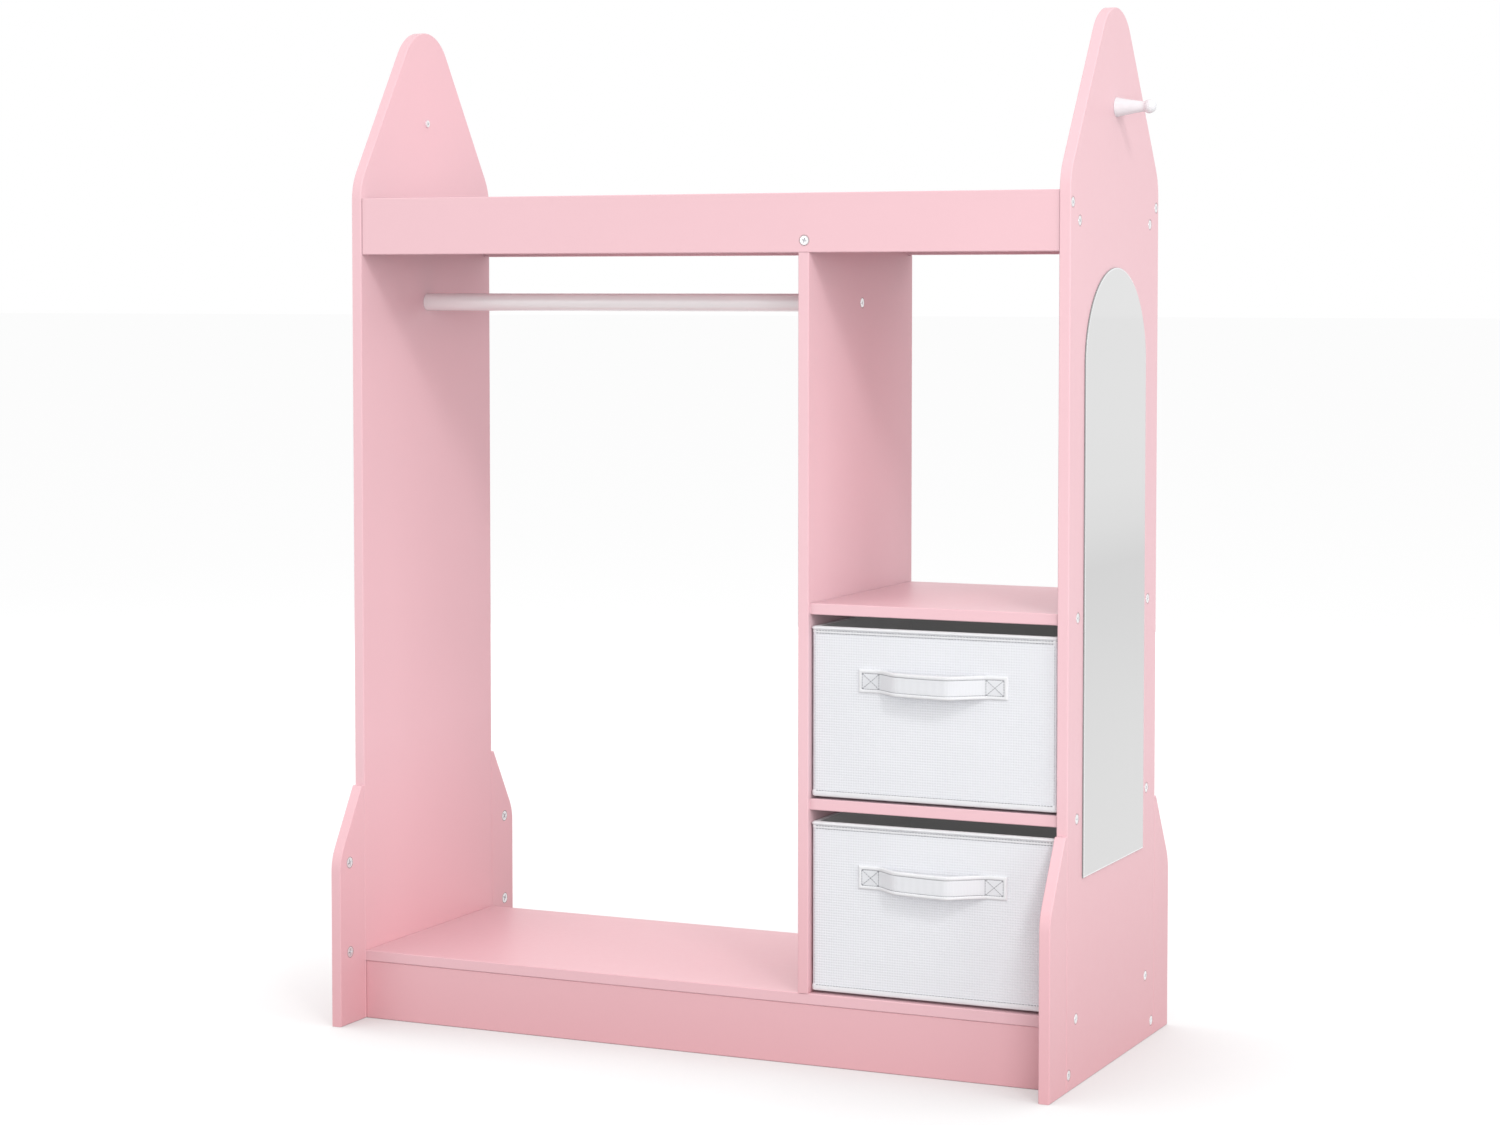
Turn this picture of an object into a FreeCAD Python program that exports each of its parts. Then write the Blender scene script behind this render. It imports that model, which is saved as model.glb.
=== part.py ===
"""Kids wardrobe with spire-topped sides, a hanging rod, two shelves, two pull-out fabric bins and a mirror.

Millimetres. +X is to the right, -Y is the front, +Z is up. The origin is on the floor, under the middle.
"""
import FreeCAD, Part
import math
import os
import re

import Sketcher

# Driving dimensions
SIZES = {
    # Boards and side panels
    "overall_width": 850,
    "panel_depth": 295,
    "board_thickness": 12,
    "edge_ease": 0.8,
    "shoulder_height": 927,
    "shoulder_radius": 57,
    "spire_rise": 196,
    "tip_radius": 54,
    # Foot strips and the cam fittings that draw them to the panels
    "foot_reach": 52.5,
    "foot_height": 266,
    "foot_top_flat": 6,
    "foot_shoulder_drop": 91,
    "foot_shoulder_radius": 50,
    "cam_diameter": 12,
    "cam_depth": 9.5,
    "cam_seam_distance": 32,
    "cam_upper_drop": 83,
    "cam_lower_height": 81.5,
    "cam_bolt_diameter": 5,
    "cam_bolt_grip": 11,
    # Boards between the panels
    "kick_height": 65.5,
    "rail_height": 63,
    "rail_lift": 1.5,
    "rail_setback": 2,
    "bottom_setback": 1,
    "shelf_setback": 5,
    "bin_bay_width": 278,
    "bin_bay_height": 196.5,
    # Hanging rod
    "rod_diameter": 20,
    "rod_drop": 53.5,
    # Board screws, with flat heads let into the wood
    "screw_head_diameter": 10,
    "screw_head_height": 2.4,
    "screw_head_clearance": 0.6,
    "screw_shank_diameter": 5,
    "screw_length": 45,
    "screw_sink": 0.3,
    "screw_inset": 30,
    "rail_screw_drop": 13,
    "kick_screw_height": 17,
    # Dowels beside single screws
    "dowel_diameter": 6,
    "dowel_length": 28,
    "dowel_seat": 9,
    "rail_dowel_rise": 13,
    "kick_dowel_height": 48,
    # Clearances in bores and seats
    "fit_clearance": 0.1,
    "bore_spare": 1,
    # Turned peg on each spire, with its screw
    "peg_lift": 91.5,
    "peg_base_diameter": 18.5,
    "peg_neck_diameter": 10.5,
    "peg_taper_length": 28,
    "peg_head_diameter": 15.8,
    "peg_length": 43.5,
    "peg_screw_head_diameter": 8,
    "peg_screw_head_height": 1.8,
    "peg_screw_diameter": 4,
    "peg_screw_grip": 18,
    # Arched mirror and its adhesive strips
    "mirror_width": 202,
    "mirror_height": 633.5,
    "mirror_bottom": 216,
    "mirror_thickness": 1.5,
    "mirror_bevel": 0.4,
    "tape_thickness": 0.5,
    "tape_width": 20,
    "tape_inset": 25,
    # Fabric bins
    "bin_side_clearance": 2.5,
    "bin_top_clearance": 12,
    "bin_front_setback": 6,
    "bin_rear_clearance": 14,
    "bin_seat_clearance": 0.3,
    "bin_corner": 1.8,
    "fabric_thickness": 1.2,
    "stiffener_thickness": 2.5,
    "stiffener_end_gap": 6,
    "lining_thickness": 0.8,
    "binding_thickness": 0.8,
    "top_binding_height": 7,
    "bottom_binding_height": 6.5,
    "floor_board_thickness": 3,
    "floor_board_clearance": 1,
    # Strap handle of a bin
    "strap_width": 25,
    "strap_thickness": 2,
    "handle_length": 167,
    "handle_sewn_length": 25,
    "handle_bulge": 27,
    "handle_swing": 26,
    "handle_drop": 56,
}

# Places and fits worked out from the driving dimensions
PLACES = {
    # Panels
    "half_width": "overall_width / 2",
    "half_board": "board_thickness / 2",
    "half_depth": "panel_depth / 2",
    "inner_half": "half_width - board_thickness",
    "inner_width": "inner_half * 2",
    "panel_x": "half_width - half_board",
    "tip_centre_z": "shoulder_height + spire_rise - tip_radius",
    "peg_z": "shoulder_height + peg_lift",
    # Foot strips
    "foot_straight": "foot_height - foot_shoulder_drop",
    "cam_upper_z": "foot_height - cam_upper_drop",
    "cam_y": "half_depth + cam_seam_distance",
    "cam_radius": "cam_diameter / 2",
    "cam_pocket_radius": "cam_radius + fit_clearance",
    "cam_pocket_depth": "cam_depth + bore_spare + fit_clearance",
    "cam_bolt_radius": "cam_bolt_diameter / 2",
    "cam_bolt_hole_radius": "cam_bolt_radius + fit_clearance",
    "cam_bolt_length": "cam_bolt_grip + cam_seam_distance - cam_radius - fit_clearance",
    "cam_bolt_hole_depth": "cam_bolt_length + bore_spare * 2",
    "cam_bolt_y": "half_depth - cam_bolt_grip",
    # Rails, top board and kick boards
    "rail_top": "shoulder_height + rail_lift",
    "rail_bottom": "rail_top - rail_height",
    "rail_mid": "rail_top - rail_height / 2",
    "rail_y": "half_depth - rail_setback - half_board",
    "rail_back": "rail_y - half_board",
    "rail_front": "rail_y + half_board",
    "rail_screw_z": "rail_top - rail_screw_drop",
    "rail_dowel_z": "rail_bottom + rail_dowel_rise",
    "top_board_depth": "rail_back * 2",
    "top_board_bottom": "rail_mid - half_board",
    "kick_mid": "kick_height / 2",
    # Bottom board, shelves and divider
    "bottom_mid": "kick_height + half_board",
    "bottom_top": "kick_height + board_thickness",
    "bottom_depth": "panel_depth - bottom_setback * 2",
    "lower_shelf_mid": "bottom_top + bin_bay_height + half_board",
    "upper_shelf_mid": "lower_shelf_mid + bin_bay_height + board_thickness",
    "shelf_x": "inner_half - bin_bay_width / 2",
    "shelf_depth": "panel_depth - shelf_setback * 2",
    "divider_right": "inner_half - bin_bay_width",
    "divider_x": "divider_right - half_board",
    "divider_left": "divider_right - board_thickness",
    "divider_height": "top_board_bottom - bottom_top",
    "divider_notch_z": "rail_bottom - bottom_top",
    "divider_screw_z": "(rail_bottom + top_board_bottom) / 2",
    # Hanging rod
    "rod_z": "rail_bottom - rod_drop",
    "rod_length": "divider_left + inner_half",
    "rod_radius": "rod_diameter / 2",
    # Screws and dowels
    "screw_y": "half_depth - screw_inset",
    "screw_head_radius": "screw_head_diameter / 2",
    "screw_shank_radius": "screw_shank_diameter / 2",
    "screw_shank_length": "screw_length - screw_head_height",
    "screw_seat_radius": "screw_head_radius + screw_head_clearance",
    "screw_seat_start": "screw_sink + bore_spare",
    "screw_seat_depth": "screw_seat_start + screw_head_height",
    "screw_hole_radius": "screw_shank_radius + fit_clearance",
    "screw_hole_depth": "screw_shank_length + bore_spare",
    "panel_screw_x": "half_width - screw_sink",
    "shelf_screw_x": "divider_left + screw_sink",
    "rod_screw_x": "divider_right - screw_sink",
    "rail_screw_y": "rail_front - screw_sink",
    "dowel_radius": "dowel_diameter / 2",
    "dowel_hole_radius": "dowel_radius + fit_clearance",
    "dowel_hole_depth": "dowel_length + bore_spare * 2",
    "dowel_foot_z": "bottom_top - dowel_seat",
    "dowel_end_x": "inner_half + dowel_seat",
    # Pegs
    "peg_base_radius": "peg_base_diameter / 2",
    "peg_neck_radius": "peg_neck_diameter / 2",
    "peg_head_radius": "peg_head_diameter / 2",
    "peg_head_centre": "peg_length - peg_head_radius",
    "peg_screw_radius": "peg_screw_diameter / 2",
    "peg_screw_head_radius": "peg_screw_head_diameter / 2",
    "peg_screw_length": "board_thickness + peg_screw_grip",
    "peg_hole_radius": "peg_screw_radius + fit_clearance",
    "peg_hole_depth": "peg_screw_length + bore_spare * 2",
    # Mirror
    "mirror_radius": "mirror_width / 2",
    "mirror_spring": "mirror_height - mirror_radius",
    "mirror_x": "half_width + tape_thickness",
    "tape_half": "tape_width / 2",
    "tape_y": "mirror_radius - tape_inset - tape_half",
    "tape_z": "mirror_bottom + tape_inset",
    "tape_length": "mirror_spring - tape_inset * 2",
    # Bins, from the outside in
    "bin_width": "bin_bay_width - bin_side_clearance * 2",
    "bin_depth": "panel_depth - bin_front_setback - bin_rear_clearance",
    "bin_height": "bin_bay_height - bin_top_clearance - bin_seat_clearance",
    "bin_y": "bin_front_setback + bin_depth / 2 - half_depth",
    "binding_step": "binding_thickness + fit_clearance",
    "cover_width": "bin_width - binding_step * 2",
    "cover_depth": "bin_depth - binding_step * 2",
    "cover_height": "bin_height - binding_step",
    "cavity_width": "cover_width - fabric_thickness * 2",
    "cavity_depth": "cover_depth - fabric_thickness * 2",
    "cavity_height": "cover_height - fabric_thickness",
    "stiffener_step": "stiffener_thickness + fit_clearance * 2",
    "stiffener_height": "cavity_height - fit_clearance",
    "stiffener_base": "fabric_thickness + fit_clearance",
    "long_stiffener": "cavity_width - stiffener_end_gap * 2",
    "short_stiffener": "cavity_depth - stiffener_end_gap * 2",
    "stiffener_x": "cavity_width / 2 - fit_clearance - stiffener_thickness / 2",
    "stiffener_y": "cavity_depth / 2 - fit_clearance - stiffener_thickness / 2",
    "lining_width": "cavity_width - stiffener_step * 2",
    "lining_depth": "cavity_depth - stiffener_step * 2",
    "lining_height": "cavity_height - fit_clearance",
    "inside_width": "lining_width - lining_thickness * 2",
    "inside_depth": "lining_depth - lining_thickness * 2",
    "inside_height": "lining_height - lining_thickness",
    "floor_board_width": "inside_width - floor_board_clearance * 2",
    "floor_board_depth": "inside_depth - floor_board_clearance * 2",
    "floor_board_base": "stiffener_base + lining_thickness + fit_clearance",
    # Bindings round the rim and the foot of a bin
    "top_binding_base": "bin_height - top_binding_height",
    "rim_outer_width": "cover_width + fit_clearance * 2",
    "rim_outer_depth": "cover_depth + fit_clearance * 2",
    "rim_inner_width": "inside_width - fit_clearance * 2",
    "rim_inner_depth": "inside_depth - fit_clearance * 2",
    "rim_groove_depth": "top_binding_height - binding_thickness",
    "mouth_width": "rim_inner_width - binding_thickness * 2",
    "mouth_depth": "rim_inner_depth - binding_thickness * 2",
    # Strap handle
    "strap_half": "strap_width / 2",
    "handle_half": "handle_length / 2",
    "handle_bend_start": "handle_half - handle_sewn_length",
    "handle_bend_end": "handle_bend_start - handle_swing",
    "handle_y": "bin_y - cover_depth / 2 - fit_clearance",
    "handle_rise": "bin_height - handle_drop",
    # Levels of the two bins
    "lower_bin_z": "bottom_top + bin_seat_clearance",
    "upper_bin_z": "lower_shelf_mid + half_board + bin_seat_clearance",
}

SAME_PLACE = 1e-6
FULL_TURN = 360
# Fasteners repeat many times over, so their round sections are drawn with few sides
HEAD_SIDES = 12
SHANK_SIDES = 8
UP = FreeCAD.Vector(0, 0, 1)
DIRECTIONS = {
    "+X": FreeCAD.Vector(1, 0, 0),
    "-X": FreeCAD.Vector(-1, 0, 0),
    "+Y": FreeCAD.Vector(0, 1, 0),
    "-Y": FreeCAD.Vector(0, -1, 0),
    "+Z": UP,
}

doc = FreeCAD.newDocument("KidsWardrobe")
nodes = []


# Sheets and named values
def formula(words):
    """A sum of named values, with each name written as its cell."""

    def cell(match):
        name = match.group()
        if name in SIZES:
            return f"Sizes.{name}"
        return f"Places.{name}" if name in PLACES else name

    return re.sub(r"[a-z_]+", cell, words)


def make_sheet(name, cells):
    sheet = doc.addObject("Spreadsheet::Sheet", name)
    for row, (alias, text) in enumerate(cells.items(), start=1):
        sheet.set(f"A{row}", alias)
        sheet.set(f"B{row}", text)
        sheet.setAlias(f"B{row}", alias)
    return sheet


sizes = make_sheet("Sizes", {name: str(length) for name, length in SIZES.items()})
places = make_sheet("Places", {name: "=" + formula(words) for name, words in PLACES.items()})
doc.recompute()


def amount(words):
    """The present length of a name, of a name with a minus sign, or of 0."""
    if words == "0":
        return 0.0
    if words.startswith("-"):
        return -amount(words[1:])
    return float((sizes if words in SIZES else places).get(words))


def bind(item, path, words):
    item.setExpression(path, formula(words))


def put(item, x="0", y="0", z="0"):
    """Places an object by named distances from the origin."""
    for axis, words in zip("xyz", (x, y, z)):
        bind(item, f"Placement.Base.{axis}", words)


def node(item, label):
    """Counts an object as a sub-part with a name of its own."""
    item.Label = label
    nodes.append(item)
    return item


# Sketches
def make_body(name):
    return doc.addObject("PartDesign::Body", name)


def make_sketch(body, plane, lift="0"):
    sketch = body.newObject("Sketcher::SketchObject", "Sketch")
    support = next(item for item in body.Origin.OriginFeatures if item.Role == plane)
    sketch.AttachmentSupport = [(support, "")]
    sketch.MapMode = "FlatFace"
    bind(sketch, "AttachmentOffset.Base.z", lift)
    return sketch


def constrain(sketch, kind, *where):
    return sketch.addConstraint(Sketcher.Constraint(kind, *where))


def measure(sketch, words, kind, *where):
    """A sketch dimension that follows a named value."""
    index = constrain(sketch, kind, *where, amount(words))
    bind(sketch, f"Constraints[{index}]", words)


def pin(sketch, shape, point, x, y):
    """Holds a sketch point at two named distances from the origin."""
    for words, kind, axis in ((x, "DistanceX", -2), (y, "DistanceY", -1)):
        if words == "0":
            constrain(sketch, "PointOnObject", shape, point, axis)
        else:
            measure(sketch, words, kind, -1, 1, shape, point)


def line(sketch, start, end):
    return sketch.addGeometry(Part.LineSegment(FreeCAD.Vector(*start, 0), FreeCAD.Vector(*end, 0)))


def arc(sketch, centre, radius, start, end):
    circle = Part.Circle(FreeCAD.Vector(*centre, 0), UP, radius)
    return sketch.addGeometry(Part.ArcOfCircle(circle, start, end))


def polygon(sketch, corners):
    """A closed outline of straight sides through named corners."""
    points = [(amount(x), amount(y)) for x, y in corners]
    sides = [line(sketch, a, b) for a, b in zip(points, points[1:] + points[:1])]
    for side, following in zip(sides, sides[1:] + sides[:1]):
        constrain(sketch, "Coincident", side, 2, following, 1)
    for side, (x, y) in zip(sides, corners):
        pin(sketch, side, 1, x, y)


def cut_rectangle(sketch, width, depth):
    """A rectangle about the origin with its four corners cut off square to the diagonal, as a bin has."""
    x, y, c = amount(width) / 2, amount(depth) / 2, amount("bin_corner")
    points = [
        (c - x, -y), (x - c, -y), (x, c - y), (x, y - c),
        (x - c, y), (c - x, y), (-x, y - c), (-x, c - y),
    ]
    sides = [line(sketch, a, b) for a, b in zip(points, points[1:] + points[:1])]
    bottom, front_cut, right, rear_cut, top, far_cut, left, near_cut = sides
    for side, following in zip(sides, sides[1:] + sides[:1]):
        constrain(sketch, "Coincident", side, 2, following, 1)
    for first, second in ((bottom, bottom), (near_cut, front_cut), (top, top), (left, right)):
        constrain(sketch, "Symmetric", first, 1, second, 2, -2)
    constrain(sketch, "Symmetric", right, 1, right, 2, -1)
    constrain(sketch, "Symmetric", bottom, 2, top, 1, -1)
    measure(sketch, width, "DistanceX", left, 1, right, 2)
    measure(sketch, depth, "DistanceY", bottom, 1, top, 2)
    measure(sketch, "bin_corner", "DistanceX", front_cut, 1, front_cut, 2)
    measure(sketch, "bin_corner", "DistanceY", front_cut, 1, front_cut, 2)


def rectangle(sketch, width, height):
    """A rectangle about the origin."""
    x, y = amount(width) / 2, amount(height) / 2
    points = [(-x, -y), (x, -y), (x, y), (-x, y)]
    sides = [line(sketch, a, b) for a, b in zip(points, points[1:] + points[:1])]
    for side, following in zip(sides, sides[1:] + sides[:1]):
        constrain(sketch, "Coincident", side, 2, following, 1)
    for side, kind in zip(sides, ("Horizontal", "Vertical", "Horizontal", "Vertical")):
        constrain(sketch, kind, side)
    constrain(sketch, "Symmetric", sides[0], 1, sides[1], 2, -1, 1)
    measure(sketch, width, "DistanceX", sides[0], 1, sides[0], 2)
    measure(sketch, height, "DistanceY", sides[1], 1, sides[1], 2)


# Features
def pad(body, sketch, length, symmetric=False):
    feature = body.newObject("PartDesign::Pad", "Pad")
    feature.Profile = sketch
    feature.Midplane = symmetric
    bind(feature, "Length", length)
    doc.recompute()
    return feature


def check_cut(feature, before):
    """Stops if a cut has taken nothing away."""
    doc.recompute()
    if feature.Shape.isNull() or feature.Shape.Volume >= before:
        raise ValueError(f"{feature.Name} cuts nothing")


def pocket(body, sketch, depth, reversed_way=False):
    before = body.Shape.Volume
    feature = body.newObject("PartDesign::Pocket", "Pocket")
    feature.Profile = sketch
    feature.Reversed = reversed_way
    bind(feature, "Length", depth)
    check_cut(feature, before)


def revolve(body, sketch, axis):
    feature = body.newObject("PartDesign::Revolution", "Revolution")
    feature.Profile = sketch
    feature.ReferenceAxis = (sketch, [axis])
    feature.Angle = FULL_TURN
    doc.recompute()
    return feature


def broad_edges(shape, axis, ends=("Min", "Max")):
    """The names of the edges round the broad faces that look along an axis."""
    levels = [getattr(shape.BoundBox, axis.upper() + end) for end in ends]
    return [
        f"Edge{number}"
        for number, edge in enumerate(shape.Edges, start=1)
        for level in levels
        if all(abs(getattr(corner, axis.upper()) - level) < SAME_PLACE for corner in edge.Vertexes)
    ]


def ease(body, base, axis, size="edge_ease", ends=("Min", "Max")):
    """Takes the sharp edge off round a board's broad faces."""
    feature = body.newObject("PartDesign::Chamfer", "EasedEdges")
    feature.Base = (base, broad_edges(base.Shape, axis, ends))
    bind(feature, "Size", size)
    doc.recompute()


def copies(name, stations):
    """Separate copies of masters, each at a place and turned to a direction."""
    links = []
    for master, x, y, z, direction in stations:
        link = doc.addObject("App::Link", "Copy")
        link.LinkedObject = master
        link.LinkTransform = True
        link.Placement = FreeCAD.Placement(
            FreeCAD.Vector(), FreeCAD.Rotation(UP, DIRECTIONS[direction])
        )
        put(link, x, y, z)
        links.append(link)
    group = doc.addObject("Part::Compound", name)
    group.Links = links
    return group


def bar(name, sides, radius, start, length):
    """A bar of regular section along +Z, from a named level."""
    prism = doc.addObject("Part::Prism", name)
    prism.Polygon = sides
    bind(prism, "Circumradius", radius)
    bind(prism, "Height", length)
    put(prism, z=start)
    return prism


def stepped_bar(name, *steps):
    """Bars of one axis joined end to end."""
    joined = doc.addObject("Part::MultiFuse", name)
    joined.Shapes = [bar(f"{name}_step", *step) for step in steps]
    return joined


def fasten(label, fastener, hole, stations):
    """Sets fasteners as one sub-part of separate solids, and gives back the holes they need."""
    node(copies(label, [(fastener, *station) for station in stations]), label)
    return copies(f"{label}_holes", [(hole, *station) for station in stations])


def drill(label, blank, *hole_groups):
    """Cuts the holes of its fasteners out of a piece."""
    piece = blank
    for holes in hole_groups:
        drilled = doc.addObject("Part::Cut", "Drilled")
        drilled.Base = piece
        drilled.Tool = holes
        check_cut(drilled, piece.Shape.Volume)
        piece = drilled
    return node(piece, label)


def both(name):
    return (name, f"-{name}")


def pairs(name, height):
    """Two places at equal distances either side of the middle."""
    return [(side, height) for side in both(name)]


# Side panels: straight sides, round shoulders and a round spire tip
def side_panel(name, x):
    body = make_body(name)
    sketch = make_sketch(body, "YZ_Plane")
    y, shoulder = amount("half_depth"), amount("shoulder_height")
    shoulder_radius, tip_radius = amount("shoulder_radius"), amount("tip_radius")
    tip_z = amount("tip_centre_z")
    run, rise = y - shoulder_radius, tip_z - shoulder
    lean = math.atan2(run, rise) + math.asin((shoulder_radius - tip_radius) / math.hypot(run, rise))
    out = (math.cos(lean), math.sin(lean))
    slope_low = (run + shoulder_radius * out[0], shoulder + shoulder_radius * out[1])
    slope_high = (tip_radius * out[0], tip_z + tip_radius * out[1])
    base = line(sketch, (-y, 0), (y, 0))
    right = line(sketch, (y, 0), (y, shoulder))
    right_shoulder = arc(sketch, (run, shoulder), shoulder_radius, 0, lean)
    right_slope = line(sketch, slope_low, slope_high)
    tip = arc(sketch, (0, tip_z), tip_radius, lean, math.pi - lean)
    left_slope = line(sketch, (-slope_high[0], slope_high[1]), (-slope_low[0], slope_low[1]))
    left_shoulder = arc(sketch, (-run, shoulder), shoulder_radius, math.pi - lean, math.pi)
    left = line(sketch, (-y, shoulder), (-y, 0))
    round_trip = [right, right_shoulder, right_slope, tip, left_slope, left_shoulder, left]
    for piece, following in zip(round_trip, round_trip[1:]):
        constrain(sketch, "Tangent", piece, 2, following, 1)
    constrain(sketch, "Coincident", base, 2, right, 1)
    constrain(sketch, "Coincident", left, 2, base, 1)
    constrain(sketch, "Vertical", right)
    constrain(sketch, "Vertical", left)
    constrain(sketch, "PointOnObject", base, 1, -1)
    constrain(sketch, "Symmetric", base, 1, base, 2, -2)
    constrain(sketch, "Horizontal", right, 2, left, 1)
    constrain(sketch, "Equal", right_shoulder, left_shoulder)
    measure(sketch, "panel_depth", "DistanceX", base, 1, base, 2)
    measure(sketch, "shoulder_height", "DistanceY", -1, 1, right, 2)
    measure(sketch, "shoulder_radius", "Radius", right_shoulder)
    measure(sketch, "tip_radius", "Radius", tip)
    pin(sketch, tip, 3, "0", "tip_centre_z")
    ease(body, pad(body, sketch, "board_thickness", symmetric=True), "x")
    put(body, x)
    return body


left_panel = side_panel("left_panel_blank", "-panel_x")
right_panel = side_panel("right_panel_blank", "panel_x")


# Foot strips: upright outside, a round shoulder, then a slope up to a narrow flat top
def foot_strip(name, x, y, turned):
    body = make_body(name)
    sketch = make_sketch(body, "YZ_Plane")
    reach, height, flat = amount("foot_reach"), amount("foot_height"), amount("foot_top_flat")
    straight, radius = amount("foot_straight"), amount("foot_shoulder_radius")
    run, rise = flat - (reach - radius), height - straight
    lean = math.atan2(rise, run) - math.acos(radius / math.hypot(run, rise))
    slope_low = (reach - radius + radius * math.cos(lean), straight + radius * math.sin(lean))
    base = line(sketch, (0, 0), (reach, 0))
    outside = line(sketch, (reach, 0), (reach, straight))
    shoulder = arc(sketch, (reach - radius, straight), radius, 0, lean)
    slope = line(sketch, slope_low, (flat, height))
    top = line(sketch, (flat, height), (0, height))
    seam = line(sketch, (0, height), (0, 0))
    for piece, following in ((base, outside), (slope, top), (top, seam), (seam, base)):
        constrain(sketch, "Coincident", piece, 2, following, 1)
    constrain(sketch, "Tangent", outside, 2, shoulder, 1)
    constrain(sketch, "Tangent", shoulder, 2, slope, 1)
    for piece, kind in ((base, "Horizontal"), (top, "Horizontal"), (outside, "Vertical"), (seam, "Vertical")):
        constrain(sketch, kind, piece)
    constrain(sketch, "Coincident", base, 1, -1, 1)
    measure(sketch, "foot_reach", "DistanceX", base, 1, base, 2)
    measure(sketch, "foot_straight", "DistanceY", outside, 1, outside, 2)
    measure(sketch, "foot_shoulder_radius", "Radius", shoulder)
    measure(sketch, "foot_top_flat", "DistanceX", top, 2, top, 1)
    measure(sketch, "foot_height", "DistanceY", seam, 2, seam, 1)
    ease(body, pad(body, sketch, "board_thickness", symmetric=True), "x")
    if turned:
        body.Placement = FreeCAD.Placement(
            FreeCAD.Vector(), FreeCAD.Rotation(DIRECTIONS["+X"], DIRECTIONS["-X"])
        )
    put(body, x, y)
    return body


feet = {
    "front_left_foot": foot_strip("front_left_blank", "-panel_x", "-half_depth", turned=True),
    "rear_left_foot": foot_strip("rear_left_blank", "-panel_x", "half_depth", turned=False),
    "front_right_foot": foot_strip("front_right_blank", "panel_x", "-half_depth", turned=True),
    "rear_right_foot": foot_strip("rear_right_blank", "panel_x", "half_depth", turned=False),
}


# Flat boards between the panels
def flat_board(name, plane, width, height, axis, x="0", y="0", z="0"):
    body = make_body(name)
    sketch = make_sketch(body, plane)
    rectangle(sketch, width, height)
    ease(body, pad(body, sketch, "board_thickness", symmetric=True), axis)
    put(body, x, y, z)
    return body


shelf = ("XY_Plane", "bin_bay_width", "shelf_depth", "z", "shelf_x", "0")
upper_shelf = flat_board("upper_shelf_blank", *shelf, "upper_shelf_mid")
lower_shelf = flat_board("lower_shelf_blank", *shelf, "lower_shelf_mid")
top_board = flat_board(
    "top_board_blank", "XY_Plane", "inner_width", "top_board_depth", "z", z="rail_mid"
)
bottom_board = flat_board(
    "bottom_board_blank", "XY_Plane", "inner_width", "bottom_depth", "z", z="bottom_mid"
)
kick = ("XZ_Plane", "inner_width", "kick_height", "y", "0")
front_kick = flat_board("front_kick_blank", *kick, "-rail_y", "kick_mid")
rear_kick = flat_board("rear_kick_blank", *kick, "rail_y", "kick_mid")
rail = ("XZ_Plane", "inner_width", "rail_height", "y", "0")
front_rail = flat_board("front_rail_blank", *rail, "-rail_y", "rail_mid")
rear_rail = flat_board("rear_rail_blank", *rail, "rail_y", "rail_mid")


# Divider: its top corners are notched round the rails
divider = make_body("divider_blank")
divider_sketch = make_sketch(divider, "YZ_Plane")
polygon(
    divider_sketch,
    [
        ("-half_depth", "0"),
        ("half_depth", "0"),
        ("half_depth", "divider_notch_z"),
        ("rail_back", "divider_notch_z"),
        ("rail_back", "divider_height"),
        ("-rail_back", "divider_height"),
        ("-rail_back", "divider_notch_z"),
        ("-half_depth", "divider_notch_z"),
    ],
)
ease(divider, pad(divider, divider_sketch, "board_thickness", symmetric=True), "x")
put(divider, "divider_x", "0", "bottom_top")

# Hanging rod
rod = doc.addObject("Part::Cylinder", "rod_blank")
rod.Placement = FreeCAD.Placement(FreeCAD.Vector(), FreeCAD.Rotation(UP, DIRECTIONS["+X"]))
bind(rod, "Radius", "rod_radius")
bind(rod, "Height", "rod_length")
put(rod, "-inner_half", "0", "rod_z")


# Turned pegs: a tapered stem and a ball head
peg = make_body("peg")
peg_sketch = make_sketch(peg, "XZ_Plane")
base_radius, neck_radius = amount("peg_base_radius"), amount("peg_neck_radius")
head_radius, head_centre = amount("peg_head_radius"), amount("peg_head_centre")
taper, length = amount("peg_taper_length"), amount("peg_length")
join = math.asin(neck_radius / head_radius) - math.pi / 2
neck_end = (neck_radius, head_centre + head_radius * math.sin(join))
foot = line(peg_sketch, (0, 0), (base_radius, 0))
stem = line(peg_sketch, (base_radius, 0), (neck_radius, taper))
neck = line(peg_sketch, (neck_radius, taper), neck_end)
head = arc(peg_sketch, (0, head_centre), head_radius, join, math.pi / 2)
middle = line(peg_sketch, (0, length), (0, 0))
for first, first_end, second, second_end in (
    (foot, 2, stem, 1),
    (stem, 2, neck, 1),
    (neck, 2, head, 1),
    (head, 2, middle, 1),
    (middle, 2, foot, 1),
):
    constrain(peg_sketch, "Coincident", first, first_end, second, second_end)
constrain(peg_sketch, "Coincident", foot, 1, -1, 1)
constrain(peg_sketch, "Vertical", neck)
constrain(peg_sketch, "PointOnObject", head, 2, -2)
pin(peg_sketch, foot, 2, "peg_base_radius", "0")
pin(peg_sketch, stem, 2, "peg_neck_radius", "peg_taper_length")
pin(peg_sketch, head, 3, "0", "peg_head_centre")
measure(peg_sketch, "peg_head_radius", "Radius", head)
revolve(peg, peg_sketch, "V_Axis")
pegs = copies(
    "pegs",
    [(peg, "-half_width", "0", "peg_z", "-X"), (peg, "half_width", "0", "peg_z", "+X")],
)

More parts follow.
